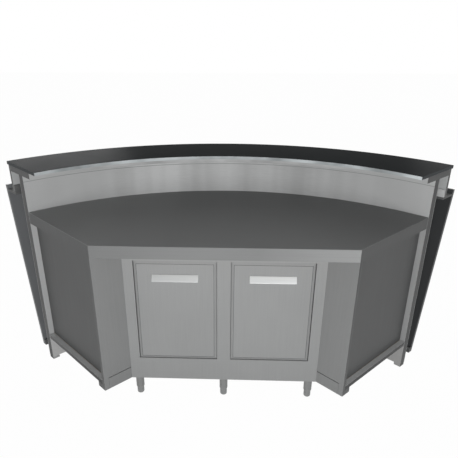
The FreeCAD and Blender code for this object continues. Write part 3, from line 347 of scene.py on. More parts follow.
# Shelves, guard and pins: polished wire and bar with a clear highlight.
BRIGHT_STEEL = stainless("polished_stainless", "#c4c6c6", 0.35, (120, 3, 3), streak=0.04, metallic=0.3)
# Pulls: nearly white, the brightest spots on the front, lightened as a painted highlight, and brighter to the
# right, a painted light too.
PULL_STEEL = stainless("satin_stainless_pull", ("#bcbebe", "#eceeee"), 0.33, (160, 3, 3), streak=0.04,
                       metallic=0.3)
# Strip on the bar top's edge: cool and pale, with cloudy patches that are a painted reflection.
BAND_STEEL = stainless("brushed_aluminium_edge_strip", "#ccd2d4", 0.4, (40, 40, 3), (190, 190, 900),
                       streak=0.4, metallic=0.05, level=0.1, cloudy=5)
print("stainless finishes made")

# %% [markdown]
# The bar top and the cladding are dark high-pressure laminate: paper soaked in resin and pressed smooth. It
# has a soft gloss, and its surface has a shallow waviness that softens reflections. Two noises make it: one
# some 140 mm wide for the waves, and one of 5 mm for the fine peel of the pressing. The studio is white all
# round, so the reflectance is kept low for the gloss to stay as dark as it is in the photograph.

# %% Dark laminate
WAVE_WIDE, PEEL_WIDE = 140, 5
HALF_WIDE = 1100


def laminate(name, colour, rough, level, fade=1.0):
    """Pressed laminate. fade is the share of its brightness that is left at the right end of a piece, a
    painted fall of light from left to right.
    """
    material, tree = new_material(name)
    where = add(tree, "ShaderNodeTexCoord").outputs["Object"]
    wave = add(tree, "ShaderNodeTexNoise", Vector=where, Scale=1 / mm(WAVE_WIDE), Detail=2.0, Roughness=0.5)
    peel = add(tree, "ShaderNodeTexNoise", Vector=where, Scale=1 / mm(PEEL_WIDE), Detail=2.0, Roughness=0.5)
    tint = add(tree, "ShaderNodeMix", {"data_type": "RGBA"}, Factor=wave.outputs["Fac"],
               i6=shade(colour, 0.92), i7=shade(colour, 1.1))
    # A painted fall of light from the left end to the right.
    if fade != 1:
        place = add(tree, "ShaderNodeSeparateXYZ", Vector=where)
        along = add(tree, "ShaderNodeMapRange", i0=place.outputs[0], i1=mm(-HALF_WIDE), i2=mm(HALF_WIDE),
                    i3=1.0, i4=fade)
        tint = add(tree, "ShaderNodeMix", {"data_type": "RGBA", "blend_type": "MULTIPLY"}, Factor=1.0,
                   i6=tint.outputs[2], i7=along.outputs[0])
    shine = add(tree, "ShaderNodeMapRange", i0=wave.outputs["Fac"], i1=NOISE_LOW, i2=NOISE_HIGH,
                i3=rough - 0.015, i4=rough + 0.02)
    bump = add(tree, "ShaderNodeBump", Strength=0.03, Distance=mm(0.2), Height=peel.outputs["Fac"])
    body = add(tree, "ShaderNodeBsdfPrincipled", Base_Color=tint.outputs[2], Roughness=shine.outputs[0],
               Normal=bump.outputs[0], IOR=1.5, Specular_IOR_Level=level)
    add(tree, "ShaderNodeOutputMaterial", Surface=body.outputs[0])
    return material


# Bar top: near black with a soft sheen at its ends.
BAR_LAMINATE = laminate("black_laminate_bar_top", "#2a2f31", 0.3, 0.0017)
# Banding on the slab's raw edges: duller and a little lighter, so that the edge reads against the top.
EDGE_LAMINATE = laminate("black_edge_banding", "#45494b", 0.4, 0.05)
# Cladding: charcoal, and lighter towards the left end, which is painted light.
CLAD_LAMINATE = laminate("charcoal_laminate_cladding", "#787a7c", 0.3, 0.2, fade=0.31)
print("laminates made")

# %% [markdown]
# The rest are plain materials: foam, board, plastic, rubber, copper and turned steel. Each could have a
# shader of its own, but they differ mostly in colour, gloss and the size of their specks, so one function is
# enough. A noise as coarse as the material's own grain moves the colour and the roughness a little and feeds
# the bump.

# %% Plain finishes


def plain(name, colour, rough, grain=8, metallic=0.0, spread=0.1):
    """A plain finish. grain is how wide its specks are in mm, and spread how far they change the colour."""
    material, tree = new_material(name)
    where = add(tree, "ShaderNodeTexCoord").outputs["Object"]
    speck = add(tree, "ShaderNodeTexNoise", Vector=where, Scale=1 / mm(grain), Detail=3.0)
    tint = add(tree, "ShaderNodeMix", {"data_type": "RGBA"}, Factor=speck.outputs["Fac"],
               i6=shade(colour, 1 - spread), i7=shade(colour, 1 + spread))
    shine = add(tree, "ShaderNodeMapRange", i0=speck.outputs["Fac"], i1=NOISE_LOW, i2=NOISE_HIGH,
                i3=rough - 0.04, i4=min(1, rough + 0.06))
    bump = add(tree, "ShaderNodeBump", Strength=0.1, Distance=mm(0.2), Height=speck.outputs["Fac"])
    body = add(tree, "ShaderNodeBsdfPrincipled", Base_Color=tint.outputs[2], Roughness=shine.outputs[0],
               Metallic=metallic, Normal=bump.outputs[0])
    add(tree, "ShaderNodeOutputMaterial", Surface=body.outputs[0])
    return material


# Foamed insulation: cream and matt, with open cells.
FOAM = plain("polyurethane_foam_board", "#cfc7a8", 0.85, 3, spread=0.15)
# Raw board under the worktop and on the side floors: warm brown with blotchy plies.
PLYWOOD = plain("raw_plywood", "#9a7b54", 0.7, 12, spread=0.2)
# Core of the wall: darkened so that the joints in front of it read as fine dark lines, a painted shade.
DARK_BOARD = plain("painted_shade_wall_core", "#3a3835", 0.75, 10, spread=0.15)
# Breaker frame and drain pipe: extruded grey PVC with a soft gloss.
BREAKER = plain("grey_pvc_breaker", "#8b8f91", 0.45)
# Door gaskets: soft extruded PVC, darker and duller.
RUBBER = plain("grey_magnetic_gasket", "#5c5e60", 0.6)
# Joint over the backsplash: a thin grey bead.
SEALANT = plain("grey_sealant", "#979999", 0.6, 6)
# Line round the face of each door: a dark colour in a shallow pressed groove, a painted shade.
SEAM = plain("painted_shade_door_seam", "#46484a", 0.6, 6)
# Fan and motor: moulded and black.
FAN_BLACK = plain("black_polyamide", "#17181a", 0.5)
# Fins of the coil: thin bare sheet with a sharp metallic glint.
FINS = plain("bare_aluminium_fins", "#c9cbcd", 0.35, 5, metallic=1.0)
# Refrigerant lines: drawn tube, warm and bright.
COPPER = plain("drawn_copper", "#c07a55", 0.3, 6, metallic=1.0)
# Feet: turned on a lathe, brighter than the legs where light catches them.
FOOT_STEEL = plain("turned_stainless_foot", "#8a8b8b", 0.35, 5, metallic=0.5)
print("plain finishes made")

# %% [markdown]
# The new pieces are drawn as by hand. A point is extruded along an outline to make a flat face; the face is
# swung round the arc, inset or extruded; then edges are picked by their place and bevelled. Three small
# functions come first: one draws an outline, one picks points, edges or faces, and one gives the outline of
# a bar that follows the arc.

# %% Drawing and picking
START_WIDE = mm(1)
MERGE_WITHIN = mm(0.01)


def draw(name, points, facing=None, face=True):
    """Start a piece in edit mode: one point is extruded along an outline, and closed to a face."""
    bpy.ops.object.select_all(action="DESELECT")
    bpy.ops.mesh.primitive_plane_add(size=START_WIDE, location=(0, 0, 0))
    bpy.context.object.name = name
    bpy.ops.object.mode_set(mode="EDIT")
    bpy.ops.mesh.select_mode(type="VERT")
    bpy.ops.mesh.merge(type="CENTER")
    points = [Vector(point) for point in points]
    bpy.ops.transform.translate(value=points[0])
    for here, there in zip(points, points[1:]):
        bpy.ops.mesh.extrude_region_move(TRANSFORM_OT_translate={"value": there - here})
    bpy.ops.mesh.select_all(action="SELECT")
    if face:
        bpy.ops.mesh.edge_face_add()
    if facing and bmesh.from_edit_mesh(bpy.context.object.data).faces[:][0].normal.dot(Vector(facing)) < 0:
        bpy.ops.mesh.flip_normals()


def pick(kind, test):
    """Select, in edit mode, the points, edges or faces whose middle and direction pass a test."""
    bpy.ops.mesh.select_mode(type=kind)
    bpy.ops.mesh.select_all(action="DESELECT")
    data = bpy.context.object.data
    mesh = bmesh.from_edit_mesh(data)
    mesh.normal_update()
    for item in {"VERT": mesh.verts, "EDGE": mesh.edges, "FACE": mesh.faces}[kind]:
        if kind == "EDGE":
            first, last = (point.co for point in item.verts)
            middle, direction = (first + last) / 2, (last - first).normalized()
        else:
            middle = item.co if kind == "VERT" else item.calc_center_median()
            direction = item.normal
        if test(middle, direction):
            item.select_set(True)
    mesh.select_flush_mode()
    bmesh.update_edit_mesh(data)


def end_rectangle(inner, outer, low, high):
    """The corners of a rectangle in the plane of the left end, from its radii and heights in mm."""
    return [on_arc(inner, low), on_arc(outer, low), on_arc(outer, high), on_arc(inner, high)]


print("points closer than", MERGE_WITHIN, "m are merged")

# %% [markdown]
# A drawn outline becomes a piece in a few moves that come back again and again: swing it round an axis, apply
# a modifier, and turn all faces outwards. A bar that follows the arc could also be a curve with a bevel, but
# a swung outline keeps its corners exact and its ends flat.

# %% Swinging and shaping


def swing(angle=SWEEP, steps=ARC_STEPS, centre=ARC_CENTRE, axis=(0, 0, 1)):
    """Spin the outline clockwise seen from above, merge what meets and close the ends."""
    bpy.ops.mesh.select_all(action="SELECT")
    bpy.ops.mesh.spin(steps=steps, angle=angle, center=centre, axis=axis)
    bpy.ops.mesh.select_all(action="SELECT")
    bpy.ops.mesh.remove_doubles(threshold=MERGE_WITHIN)
    bpy.ops.mesh.fill_holes(sides=0)


def shape(kind, **settings):
    """Apply one modifier to the piece in hand."""
    piece = bpy.context.object
    bpy.ops.object.mode_set(mode="OBJECT")
    modifier = piece.modifiers.new(kind.lower(), kind)
    for key, value in settings.items():
        setattr(modifier, key, value)
    bpy.ops.object.modifier_apply(modifier=modifier.name)
    bpy.ops.object.mode_set(mode="EDIT")


def square_up():
    """Merge doubles and turn the faces outwards, before a sheet gets its thickness."""
    bpy.ops.mesh.select_mode(type="FACE")
    bpy.ops.mesh.select_all(action="SELECT")
    bpy.ops.mesh.remove_doubles(threshold=MERGE_WITHIN)
    bpy.ops.mesh.normals_make_consistent(inside=False)


print("a swing along the whole arc has", ARC_STEPS, "steps")

# %% [markdown]
# A finished piece gets its shading, its finish and its place in the assembly. Broad faces and narrow rounded
# edges meet smoothly when the broad ones decide the shading, which is what Weighted Normal does. Some faces
# of a piece are another material, such as a banding, and get a second slot.

# %% Handing over
SMOOTH_BELOW = math.radians(32)


def hand_over(finish, slot, *replaced, body="counter"):
    """Leave edit mode, and give the piece its finish, its body and the CAD nodes that it stands for."""
    piece = bpy.context.object
    bpy.ops.object.mode_set(mode="OBJECT")
    bpy.ops.object.transform_apply(location=True, rotation=True, scale=True)
    bpy.ops.object.shade_smooth_by_angle(angle=SMOOTH_BELOW)
    evenly = piece.modifiers.new("even_shading", "WEIGHTED_NORMAL")
    evenly.keep_sharp = True
    bpy.ops.object.modifier_apply(modifier=evenly.name)
    piece.data.materials.clear()
    piece.data.materials.append(finish)
    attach(piece, body)
    if replaced:
        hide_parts(*replaced)
    print(piece.name, len(piece.data.polygons), "faces")
    return piece


def second_finish(piece, finish, test):
    """Give the faces that pass a test another finish, in a slot of its own."""
    piece.data.materials.append(finish)
    for face in piece.data.polygons:
        if test(face):
            face.material_index = len(piece.data.materials) - 1


def is_upright(face):
    return abs(face.normal.z) < 0.5


print("edges are shaded smooth below", round(math.degrees(SMOOTH_BELOW)), "degrees")

# %% [markdown]
# The bar top is a slab of black laminate on board, 324 mm deep and 16 mm thick, with its edges broken by a
# router. Its outline stands in the plane of the left end and is swung to the right end. The raw edges are
# covered with a duller banding, which is a second material slot. The edge over the worktop has a bright
# strip of its own, so the slab stops two millimetres short of it.

# %% Bar top
draw("bar_top", end_rectangle(1283, 1605, 1134, 1150))
bpy.ops.mesh.bevel(offset=mm(1.5), segments=3, affect="VERTICES")
swing()
square_up()
slab = hand_over(BAR_LAMINATE, "black_laminate", "bar_slab")
second_finish(slab, EDGE_LAMINATE, is_upright)

# %% [markdown]
# That strip is a flat bar of aluminium, glued to the slab's inner edge. It is drawn like the slab, as a
# small rectangle with eased corners, and swung along the same arc, so that the two meet all the way.

# %% Bright strip on the bar top's inner edge
draw("bar_edge_strip", end_rectangle(1281, 1283.2, 1134.3, 1149.5))
bpy.ops.mesh.bevel(offset=mm(0.7), segments=2, affect="VERTICES")
swing()
square_up()
hand_over(BAND_STEEL, "bright_steel")

# %% [markdown]
# Under the slab sits a folded steel box that follows the arc. Its two end faces take the darker end sheet, a
# painted shade, so those faces get a second material slot.

# %% Box under the bar top
draw("bar_top_box", end_rectangle(1347, 1568.8, 1104, 1133.8))
bpy.ops.mesh.bevel(offset=mm(2), segments=3, affect="VERTICES")
swing()
square_up()
box = hand_over(WALL_STEEL, "brushed_steel", "bar_box")


def is_box_end_face(face):
    """True for an upright face that stands across the arc."""
    radial = (face.center - ARC_CENTRE) * Vector((1, 1, 0))
    return is_upright(face) and abs(face.normal.dot(radial.normalized())) < 0.2


# The box's end faces get the darker end sheet as painted shade.
second_finish(box, END_STEEL, is_box_end_face)

# %% [markdown]
# The cladding is one leaning sheet, wider at the top than at the foot. Swinging its slanting outline gives
# the cone directly. Its top edge is rounded, because sleeves and knees touch it.

# %% Leaning cladding
CLAD_FOOT, CLAD_TOP, CLAD_THICK = (1527, 60), (1664, 1011), 18
CLAD_MIDDLE = mm((CLAD_FOOT[1] + CLAD_TOP[1]) / 2)
foot_back = on_arc(CLAD_FOOT[0] + CLAD_THICK, CLAD_FOOT[1])
top_back = on_arc(CLAD_TOP[0] + CLAD_THICK, CLAD_TOP[1])
draw("leaning_cladding", [on_arc(*CLAD_FOOT), foot_back, top_back, on_arc(*CLAD_TOP)])
pick("VERT", lambda at, facing: at.z > CLAD_MIDDLE)
bpy.ops.mesh.bevel(offset=mm(5), segments=4, affect="VERTICES")
pick("VERT", lambda at, facing: at.z < CLAD_MIDDLE)
bpy.ops.mesh.bevel(offset=mm(1.5), segments=2, affect="VERTICES")
swing()
square_up()
hand_over(CLAD_LAMINATE, "black_laminate", "cladding_panel")

# %% [markdown]
# Between the backsplash and the strip above it runs a joint three millimetres wide. It is sealed, and shows
# as a fine dark line, so a thin bead of sealant lies just behind the face of the sheet.

# %% Sealed joint
draw("joint_sealant", end_rectangle(1432.5, 1433.4, 1071.8, 1075.2))
swing()
square_up()
hand_over(SEALANT, "grey_rubber")

# %% [markdown]
# The worktop is one sheet, folded down 60 mm along the front and both ends. A filled circle is cut by three
# planes to its plan; the three straight edges are extruded down, the folds are bevelled to the radius that a
# press leaves, and Solidify gives the sheet its thickness.

# %% Worktop
TOP_RADIUS, TOP_Z, FRONT_Y = 1431.5, 915, -545
TOP_FOLD = 60
AT_RIM = mm(0.2)
bpy.ops.object.select_all(action="DESELECT")
bpy.ops.mesh.primitive_circle_add(vertices=512, radius=mm(TOP_RADIUS), fill_type="NGON",
                                  location=ARC_CENTRE + Vector((0, 0, mm(TOP_Z))))
bpy.context.object.name = "folded_worktop"
bpy.ops.object.transform_apply(location=True)
bpy.ops.object.mode_set(mode="EDIT")
slant = math.sqrt(0.5)
CUTS = [((0, mm(FRONT_Y), 0), (0, -1, 0)), (ARC_CENTRE, (slant, -slant, 0)),
        (ARC_CENTRE, (-slant, -slant, 0))]
for point, outwards in CUTS:
    bpy.ops.mesh.select_all(action="SELECT")
    bpy.ops.mesh.bisect(plane_co=point, plane_no=outwards, clear_outer=True)


def on_straight_rim(at, along):
    """True for the upper edges along the front and in the planes of the two ends."""
    in_end_plane = abs(abs(at.x) - (at.y - ARC_CENTRE.y)) < AT_RIM
    return at.z > mm(TOP_Z) - AT_RIM and (abs(at.y - mm(FRONT_Y)) < AT_RIM or in_end_plane)


def on_front_corner(at, along):
    return abs(along.z) > 0.9 and abs(at.y - mm(FRONT_Y)) < AT_RIM


pick("EDGE", on_straight_rim)
bpy.ops.mesh.extrude_region_move(TRANSFORM_OT_translate={"value": (0, 0, mm(-TOP_FOLD))})
pick("EDGE", lambda at, along: on_straight_rim(at, along) or on_front_corner(at, along))
bpy.ops.mesh.bevel(offset=mm(3), segments=4, affect="EDGES")
square_up()
shape("SOLIDIFY", thickness=mm(1.5), offset=-1)
worktop = hand_over(TOP_STEEL, "brushed_steel", "worktop_sheet")
second_finish(worktop, APRON_STEEL, lambda face: is_upright(face) and abs(face.normal.x) < 0.5)
# The end folds get the darker end sheet, a painted shade.
second_finish(worktop, END_STEEL, lambda face: is_upright(face) and abs(face.normal.x) >= 0.5)

# %% [markdown]
# A door is a folded steel pan over foam. Its face stands 5.5 mm proud inside a sloping border, so one inset
# with a depth gives the face and the border together. Three more press the fine line where they meet, which
# is coloured dark as painted shade. The rim is then extruded back, turned in as a flange, and Solidify makes
# it sheet.
# Both doors have the same steps; only the side differs. The pan is a little larger than the CAD skin on its
# free edges, so that the gaps look as fine as they are on the real one.

# %% Door skins
DOOR_WIDE, DOOR_HIGH = 389, 541
DOOR_X, DOOR_Z = 230.5, 520.5
BORDER_Y, BACK_Y = -424.5, -380
BORDER_WIDE, FACE_RISE = 12, 5.5
SEAM_WIDE, SEAM_DEEP, SEAM_SLOPE = 1.4, 0.9, 0.15
PAN_WIDER, PAN_HIGHER = 1.4, 1.8
FLANGE = 12
DOOR_SIDES = {"left": -1, "right": 1}


def door_middle(side):
    """The middle of the back of a door, in metres."""
    return Vector((mm(DOOR_X * DOOR_SIDES[side]), mm(BACK_Y), mm(DOOR_Z)))


def door_rectangle(side, shrink, y):
    """The corners, in metres, of a rectangle that is smaller than the door by shrink mm on every side."""
    x, z = DOOR_WIDE / 2 - shrink, DOOR_HIGH / 2 - shrink
    corners = [(-x, -z), (x, -z), (x, z), (-x, z)]
    return [Vector((mm(DOOR_X * DOOR_SIDES[side] + dx), mm(y), mm(DOOR_Z + dz))) for dx, dz in corners]


def near(value, *marks):
    """True where a coordinate in metres is at one of some marks in mm."""
    return any(abs(value - mm(mark)) < mm(0.05) for mark in marks)


for side in DOOR_SIDES:
    draw(f"door_pan_{side}", door_rectangle(side, 0.1, BORDER_Y), facing=(0, -1, 0))
    hinge_edge = mm(DOOR_SIDES[side] * (DOOR_X + DOOR_WIDE / 2))
    bpy.ops.transform.resize(value=(1 + PAN_WIDER / DOOR_WIDE, 1, 1 + PAN_HIGHER / DOOR_HIGH),
                             center_override=(hinge_edge, 0, mm(DOOR_Z)))
    bpy.ops.mesh.select_mode(type="FACE")
    bpy.ops.mesh.select_all(action="SELECT")
    seam = [(SEAM_SLOPE, -SEAM_DEEP), (SEAM_WIDE, 0), (SEAM_SLOPE, SEAM_DEEP)]
    for border, rise in [(BORDER_WIDE, FACE_RISE)] + seam:
        bpy.ops.mesh.inset(thickness=mm(border), depth=mm(rise))
    pick("EDGE", lambda at, along: near(at.y, BORDER_Y))
    bpy.ops.mesh.extrude_region_move(TRANSFORM_OT_translate={"value": (0, mm(BACK_Y - BORDER_Y), 0)})
    pick("EDGE", lambda at, along: near(at.y, BACK_Y))
    bpy.ops.mesh.extrude_region_move(TRANSFORM_OT_translate={"value": (0, 0, 0)})
    bpy.ops.transform.resize(value=(1 - 2 * FLANGE / DOOR_WIDE, 1, 1 - 2 * FLANGE / DOOR_HIGH),
                             center_override=door_middle(side))
    pick("EDGE", lambda at, along: near(at.y, BORDER_Y) and abs(along.y) < 0.1)
    bpy.ops.mesh.bevel(offset=mm(0.5), segments=2, affect="EDGES")
    square_up()
    shape("SOLIDIFY", thickness=mm(1.2), offset=-1)
    pan = hand_over(FRONT_STEEL, "panel_steel", f"door_skin_{side}", body=f"door_{side}")
    face_y = BORDER_Y - FACE_RISE
    # The pressed line is coloured dark: a painted shade.
    second_finish(pan, SEAM, lambda face: mm(face_y + 0.05) < face.center.y < mm(face_y + SEAM_DEEP + 0.05))

# %% [markdown]
# Seen with the door open, the back of the door is a pressed liner: a flat border that carries the gasket, a
# raised field that reaches into the mouth of the cell, and a shallow dish in its middle. Four insets press
# it, and a Bevel modifier rounds every pressing before the sheet gets its thickness.

# %% Pressed door liners
# Each pressing is how far it lies inside the last one, and how far it rises, in mm.
LINER_PRESSINGS = [(25, 0), (7, 8.4), (34, 0), (6, -4)]
for side in DOOR_SIDES:
    draw(f"door_liner_{side}", door_rectangle(side, 1.5, BACK_Y + 0.1), facing=(0, 1, 0))
    bpy.ops.mesh.select_mode(type="FACE")
    bpy.ops.mesh.select_all(action="SELECT")
    for border, rise in LINER_PRESSINGS:
        bpy.ops.mesh.inset(thickness=mm(border), depth=mm(rise))
    shape("BEVEL", width=mm(2.2), segments=3, limit_method="ANGLE", angle_limit=math.radians(20))
    shape("SOLIDIFY", thickness=mm(0.7), offset=1)
    hand_over(LINER_STEEL, "liner_steel", body=f"door_{side}")

# %% [markdown]
# A magnetic gasket is a soft extruded profile: a foot that clips to the door, a narrow bellows that gives,
# and a cushion with the magnet that meets the breaker frame. A rectangle is stepped up that profile by
# extruding and scaling, over the top and down the inner side, so that the corners are mitred as on the real
# one, where they are welded. Bridging the two last loops closes the foot.

# %% Magnetic gaskets
# Each step up the outer side is the distance in from the gasket's edge and the height from the door, in mm.
# The inner side has the same steps downwards.
GASKET_UP = [(0, 1.6), (0.8, 2.4), (3.4, 3.0), (3.4, 4.2), (1.0, 5.4), (0.4, 6.4), (0.4, 9.2), (1.0, 10.4),
             (2.2, 11)]
GASKET_WIDE, GASKET_INSET = 18, 6
GASKET_DOWN = [(GASKET_WIDE - step_in, step_up) for step_in, step_up in reversed(GASKET_UP)]
for side in DOOR_SIDES:
    draw(f"bellows_gasket_{side}", door_rectangle(side, GASKET_INSET, BACK_Y))
    bpy.ops.mesh.select_mode(type="FACE")
    bpy.ops.mesh.select_all(action="SELECT")
    wide, high = DOOR_WIDE - 2 * GASKET_INSET, DOOR_HIGH - 2 * GASKET_INSET
    inwards, height = 0, 0
    for step_in, step_up in GASKET_UP + GASKET_DOWN + [(GASKET_WIDE, 0)]:
        bpy.ops.mesh.extrude_region_move(TRANSFORM_OT_translate={"value": (0, mm(step_up - height), 0)})
        narrower = (wide - 2 * step_in) / (wide - 2 * inwards)
        lower = (high - 2 * step_in) / (high - 2 * inwards)
        bpy.ops.transform.resize(value=(narrower, 1, lower), center_override=door_middle(side))
        inwards, height = step_in, step_up
    pick("FACE", lambda at, facing: abs(facing.y) > 0.99 and near(at.y, BACK_Y))
    bpy.ops.mesh.delete(type="ONLY_FACE")
    pick("EDGE", lambda at, along: near(at.y, BACK_Y))
    bpy.ops.mesh.bridge_edge_loops()
    square_up()
    hand_over(RUBBER, "grey_rubber", f"gasket_{side}", body=f"door_{side}")

# %% [markdown]
# The pull is one folded plate: a leaf that is riveted to the door, a fold at the top, a slanting lip, and a
# hem turned back inside the lip so that fingers meet no raw edge. An open line of points is extruded along
# the handle's width, the folds are bevelled, and Solidify makes it plate.

# %% Handles
PULL_WIDE, PULL_TOP, LIP_Z, HEM_Z = 218.8, 724.9, 696.6, 695.4
LEAF_Y, LIP_Y = -430.95, -450.9
PULL_LINE = [(LEAF_Y, HEM_Z), (LEAF_Y, PULL_TOP), (LIP_Y, LIP_Z), (-448.6, HEM_Z), (-444.6, 701.2)]
for side in DOOR_SIDES:
    start = DOOR_X * DOOR_SIDES[side] - PULL_WIDE / 2
    draw(f"folded_pull_{side}", [(mm(start), mm(y), mm(z)) for y, z in PULL_LINE], face=False)
    bpy.ops.mesh.select_mode(type="EDGE")
    bpy.ops.mesh.select_all(action="SELECT")
    bpy.ops.mesh.extrude_region_move(TRANSFORM_OT_translate={"value": (mm(PULL_WIDE), 0, 0)})
    pick("EDGE", lambda at, along: abs(along.x) > 0.9 and near(at.z, PULL_TOP))
    bpy.ops.mesh.bevel(offset=mm(1.4), segments=4, affect="EDGES")
    pick("EDGE", lambda at, along: abs(along.x) > 0.9 and near(at.z, LIP_Z, HEM_Z) and at.y < mm(LIP_Y + 10))
    bpy.ops.mesh.bevel(offset=mm(1.0), segments=3, affect="EDGES")
    square_up()
    shape("SOLIDIFY", thickness=mm(1.8), offset=0)
    shape("BEVEL", width=mm(0.4), segments=2, limit_method="ANGLE", angle_limit=math.radians(60))
    hand_over(PULL_STEEL, "bright_steel", f"handle_{side}", body=f"door_{side}")

# %% [markdown]
# Each leg ends in a turned foot that screws in and out to level the counter: a bevelled sole, a barrel with
# a groove for the spanner, a collar under the tube and a stem inside it. Its outline is spun once and copied
# to the six legs.

# %% Levelling feet
LEG_XS, LEG_YS = (-445, 0, 445), (-392, 129.75)
ROUND_STEPS = 48
# Radius and height of each corner, from the sole to the top of the stem.
FOOT_LINE = [(0, 0), (12, 0), (14.6, 1.4), (17.2, 4.4), (18, 7.4), (18, 26), (17, 27), (17, 31), (18, 32),
             (18, 42.6), (20.6, 43.1), (20.6, 45), (8, 45), (8, 84), (0, 84)]
FOOT_REACH = mm(30)
draw("levelling_feet", [(mm(LEG_XS[0] + r), mm(LEG_YS[0]), mm(z)) for r, z in FOOT_LINE])
bpy.ops.mesh.delete(type="ONLY_FACE")
foot_axis = (mm(LEG_XS[0]), mm(LEG_YS[0]), 0)
swing(2 * math.pi, ROUND_STEPS, foot_axis)
for x in LEG_XS:
    for y in LEG_YS:
        if (x, y) != (LEG_XS[0], LEG_YS[0]):
            pick("FACE", lambda at, facing: math.hypot(at.x - foot_axis[0], at.y - foot_axis[1]) < FOOT_REACH)
            move = (mm(x - LEG_XS[0]), mm(y - LEG_YS[0]), 0)
            bpy.ops.mesh.duplicate_move(TRANSFORM_OT_translate={"value": move})
square_up()
hand_over(FOOT_STEEL, "foot_steel", "leg_feet")

# %% [markdown]
# The evaporator's fan is moulded in one piece: a domed hub and five broad blades that twist from root to
# tip. One blade starts as a grid at its pitch, is tapered, twisted by Simple Deform and made thick, and is
# spun round as copies. The hub is spun, and the blades are joined to it.

# %% Fan
FAN_AXIS = Vector((0, mm(-8.2), mm(707)))
# Radius and place along the axis of each corner of the hub, from its dome to the bore for the shaft.
HUB_LINE = [(0, -17.0), (8, -16.7), (15, -15.4), (20, -12.4), (22, -8), (22, 0.6), (3.2, 0.6), (3.2, -2),
            (0, -2)]
BLADES, BLADE_RADIUS = 5, 42.5
BLADE_LONG, BLADE_WIDE, BLADE_THICK = 46, 38, 1.8
BLADE_PITCH, BLADE_TWIST = math.radians(112), math.radians(-16)
# Where a stretch of the blade starts and ends, in mm from its middle, and the share of its width that stays.
BLADE_TAPER = [(22.5, 24, 0.72), (17, 22.5, 0.92), (-24, -16, 0.66)]
bpy.ops.object.select_all(action="DESELECT")
bpy.ops.mesh.primitive_grid_add(x_subdivisions=10, y_subdivisions=8, size=1,
                                location=FAN_AXIS + Vector((mm(BLADE_RADIUS), 0, 0)),
                                rotation=(BLADE_PITCH, 0, 0))
blade = bpy.context.object
bpy.ops.object.mode_set(mode="EDIT")
bpy.ops.transform.resize(value=(mm(BLADE_LONG), mm(BLADE_WIDE), mm(BLADE_WIDE)),
                         center_override=blade.location)
for start, stop, width in BLADE_TAPER:
    pick("VERT", lambda at, facing: mm(start) < at.x < mm(stop))
    bpy.ops.transform.resize(value=(1, width, width), center_override=blade.location)
shape("SIMPLE_DEFORM", deform_method="TWIST", deform_axis="X", angle=BLADE_TWIST)
shape("SOLIDIFY", thickness=mm(BLADE_THICK), offset=0)
bpy.ops.object.mode_set(mode="OBJECT")
bpy.ops.object.transform_apply(location=True, rotation=True, scale=True)
bpy.ops.object.mode_set(mode="EDIT")
bpy.ops.mesh.select_all(action="SELECT")
bpy.ops.mesh.spin(dupli=True, use_normal_flip=False, steps=BLADES, angle=2 * math.pi, center=FAN_AXIS,
                  axis=(0, 1, 0))
bpy.ops.mesh.select_all(action="SELECT")
bpy.ops.mesh.remove_doubles(threshold=2 * MERGE_WITHIN)
bpy.ops.object.mode_set(mode="OBJECT")
draw("moulded_fan", [(mm(r), mm(y), FAN_AXIS.z) for r, y in HUB_LINE])
bpy.ops.mesh.delete(type="ONLY_FACE")
swing(2 * math.pi, ROUND_STEPS, FAN_AXIS, (0, 1, 0))
bpy.ops.object.mode_set(mode="OBJECT")
blade.select_set(True)
bpy.ops.object.join()
bpy.ops.object.mode_set(mode="EDIT")
square_up()
hand_over(FAN_BLACK, "fan_plastic", "fan_impeller", body="fan")

# %% [markdown]
# The CAD pieces whose shape is right stay, and each gets one of the finishes above in place of its plain
# colour. Pieces that are now hidden by a new one get theirs too, so that nothing is left bare.

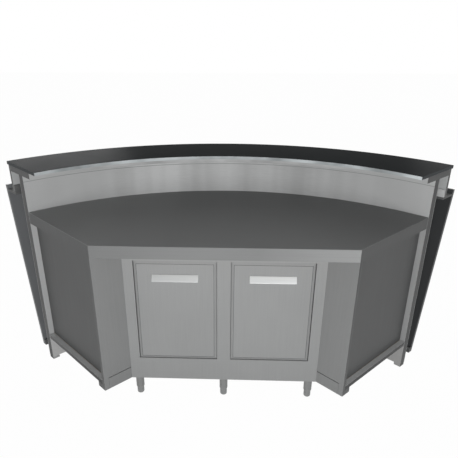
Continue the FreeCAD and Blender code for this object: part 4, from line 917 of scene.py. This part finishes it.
# %% Finishes on the CAD pieces
FINISHES = {
    FRONT_STEEL: ["front_frame", "door_skin_left", "door_skin_right"],
    NECK_RAIL_STEEL: ["upper_rail"],
    SKIN_STEEL: ["wall_skin_operator"],
    RAIL_STEEL: ["end_rails"],
    POST_STEEL: ["wall_posts"],
    WING_STEEL: ["closing_panel_left", "closing_panel_right", "wing_rails"],
    TOP_STEEL: ["worktop_sheet"],
    END_STEEL: ["end_panel_left", "end_panel_right", "ledge", "lower_rail"],
    WALL_STEEL: ["backsplash", "wall_skin_customer", "bar_box"],
    NECK_STEEL: ["neck_fascia"],
    TUBE_STEEL: ["base_rails", "rear_arc_rail", "worktop_bearers", "cladding_brackets", "shelf_runners",
                 "leg_tubes"],
    LINER_STEEL: ["cabinet_liner", "evaporator_housing", "drip_tray"],
    PULL_STEEL: ["handle_left", "handle_right"],
    BRIGHT_STEEL: ["hinge_pins", "fan_guard", "shelf_left", "shelf_right", "temperature_probe"],
    BAR_LAMINATE: ["bar_slab"],
    CLAD_LAMINATE: ["cladding_panel"],
    PLYWOOD: ["worktop_core", "side_floors"],
    DARK_BOARD: ["wall_core"],
    FOAM: ["cabinet_floor", "cabinet_ceiling", "cabinet_back", "cabinet_side_left", "cabinet_side_right",
           "frame_filler", "door_core_left", "door_core_right"],
    BREAKER: ["throat_frame", "drain_pipe", "hinge_bushes_left", "hinge_bushes_right"],
    FAN_BLACK: ["fan_impeller", "fan_motor"],
    RUBBER: ["gasket_left", "gasket_right"],
    FOOT_STEEL: ["leg_feet"],
    FINS: ["evaporator_coil"],
    COPPER: ["refrigerant_lines"],
}
for finish, names in FINISHES.items():
    for name in names:
        node = nodes[name]
        node.data.materials.clear()
        node.data.materials.append(finish)
dressed = sum(len(names) for names in FINISHES.values())
print(dressed, "of", len(nodes), "pieces have a finish")

# %% [markdown]
# No sheet or rail has a perfectly sharp edge: a press or a file leaves about a millimetre of rounding, and
# that is what catches the light. The CAD meshes stay as they are, so the rounding is done by modifiers that
# stay live: Weld joins the loose triangles, Decimate turns them back into whole faces, and Bevel breaks the
# edges.

# %% Broken edges
EDGE_WIDE = 1.2
FLAT_BELOW, SHARP_ABOVE = math.radians(0.5), math.radians(50)
SOFT_EDGED = ["front_frame", "closing_panel_left", "closing_panel_right", "wing_rails", "end_panel_left",
              "end_panel_right", "end_rails", "wall_posts", "base_rails", "upper_rail", "ledge", "lower_rail"]
for name in SOFT_EDGED:
    node = nodes[name]
    weld = node.modifiers.new("joined_triangles", "WELD")
    weld.merge_threshold = MERGE_WITHIN
    flat = node.modifiers.new("whole_faces", "DECIMATE")
    flat.decimate_type = "DISSOLVE"
    flat.angle_limit = FLAT_BELOW
    edge = node.modifiers.new("broken_edges", "BEVEL")
    edge.width, edge.segments = mm(EDGE_WIDE), 2
    edge.limit_method, edge.angle_limit = "ANGLE", SHARP_ABOVE
    bevelled = node.evaluated_get(bpy.context.evaluated_depsgraph_get()).data
    print(name, len(node.data.polygons), "triangles become", len(bevelled.polygons), "faces")

# %% [markdown]
# The dressed counter has to keep the size of the CAD one, so its box is measured.

# %% Size of the dressed counter
low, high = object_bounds()
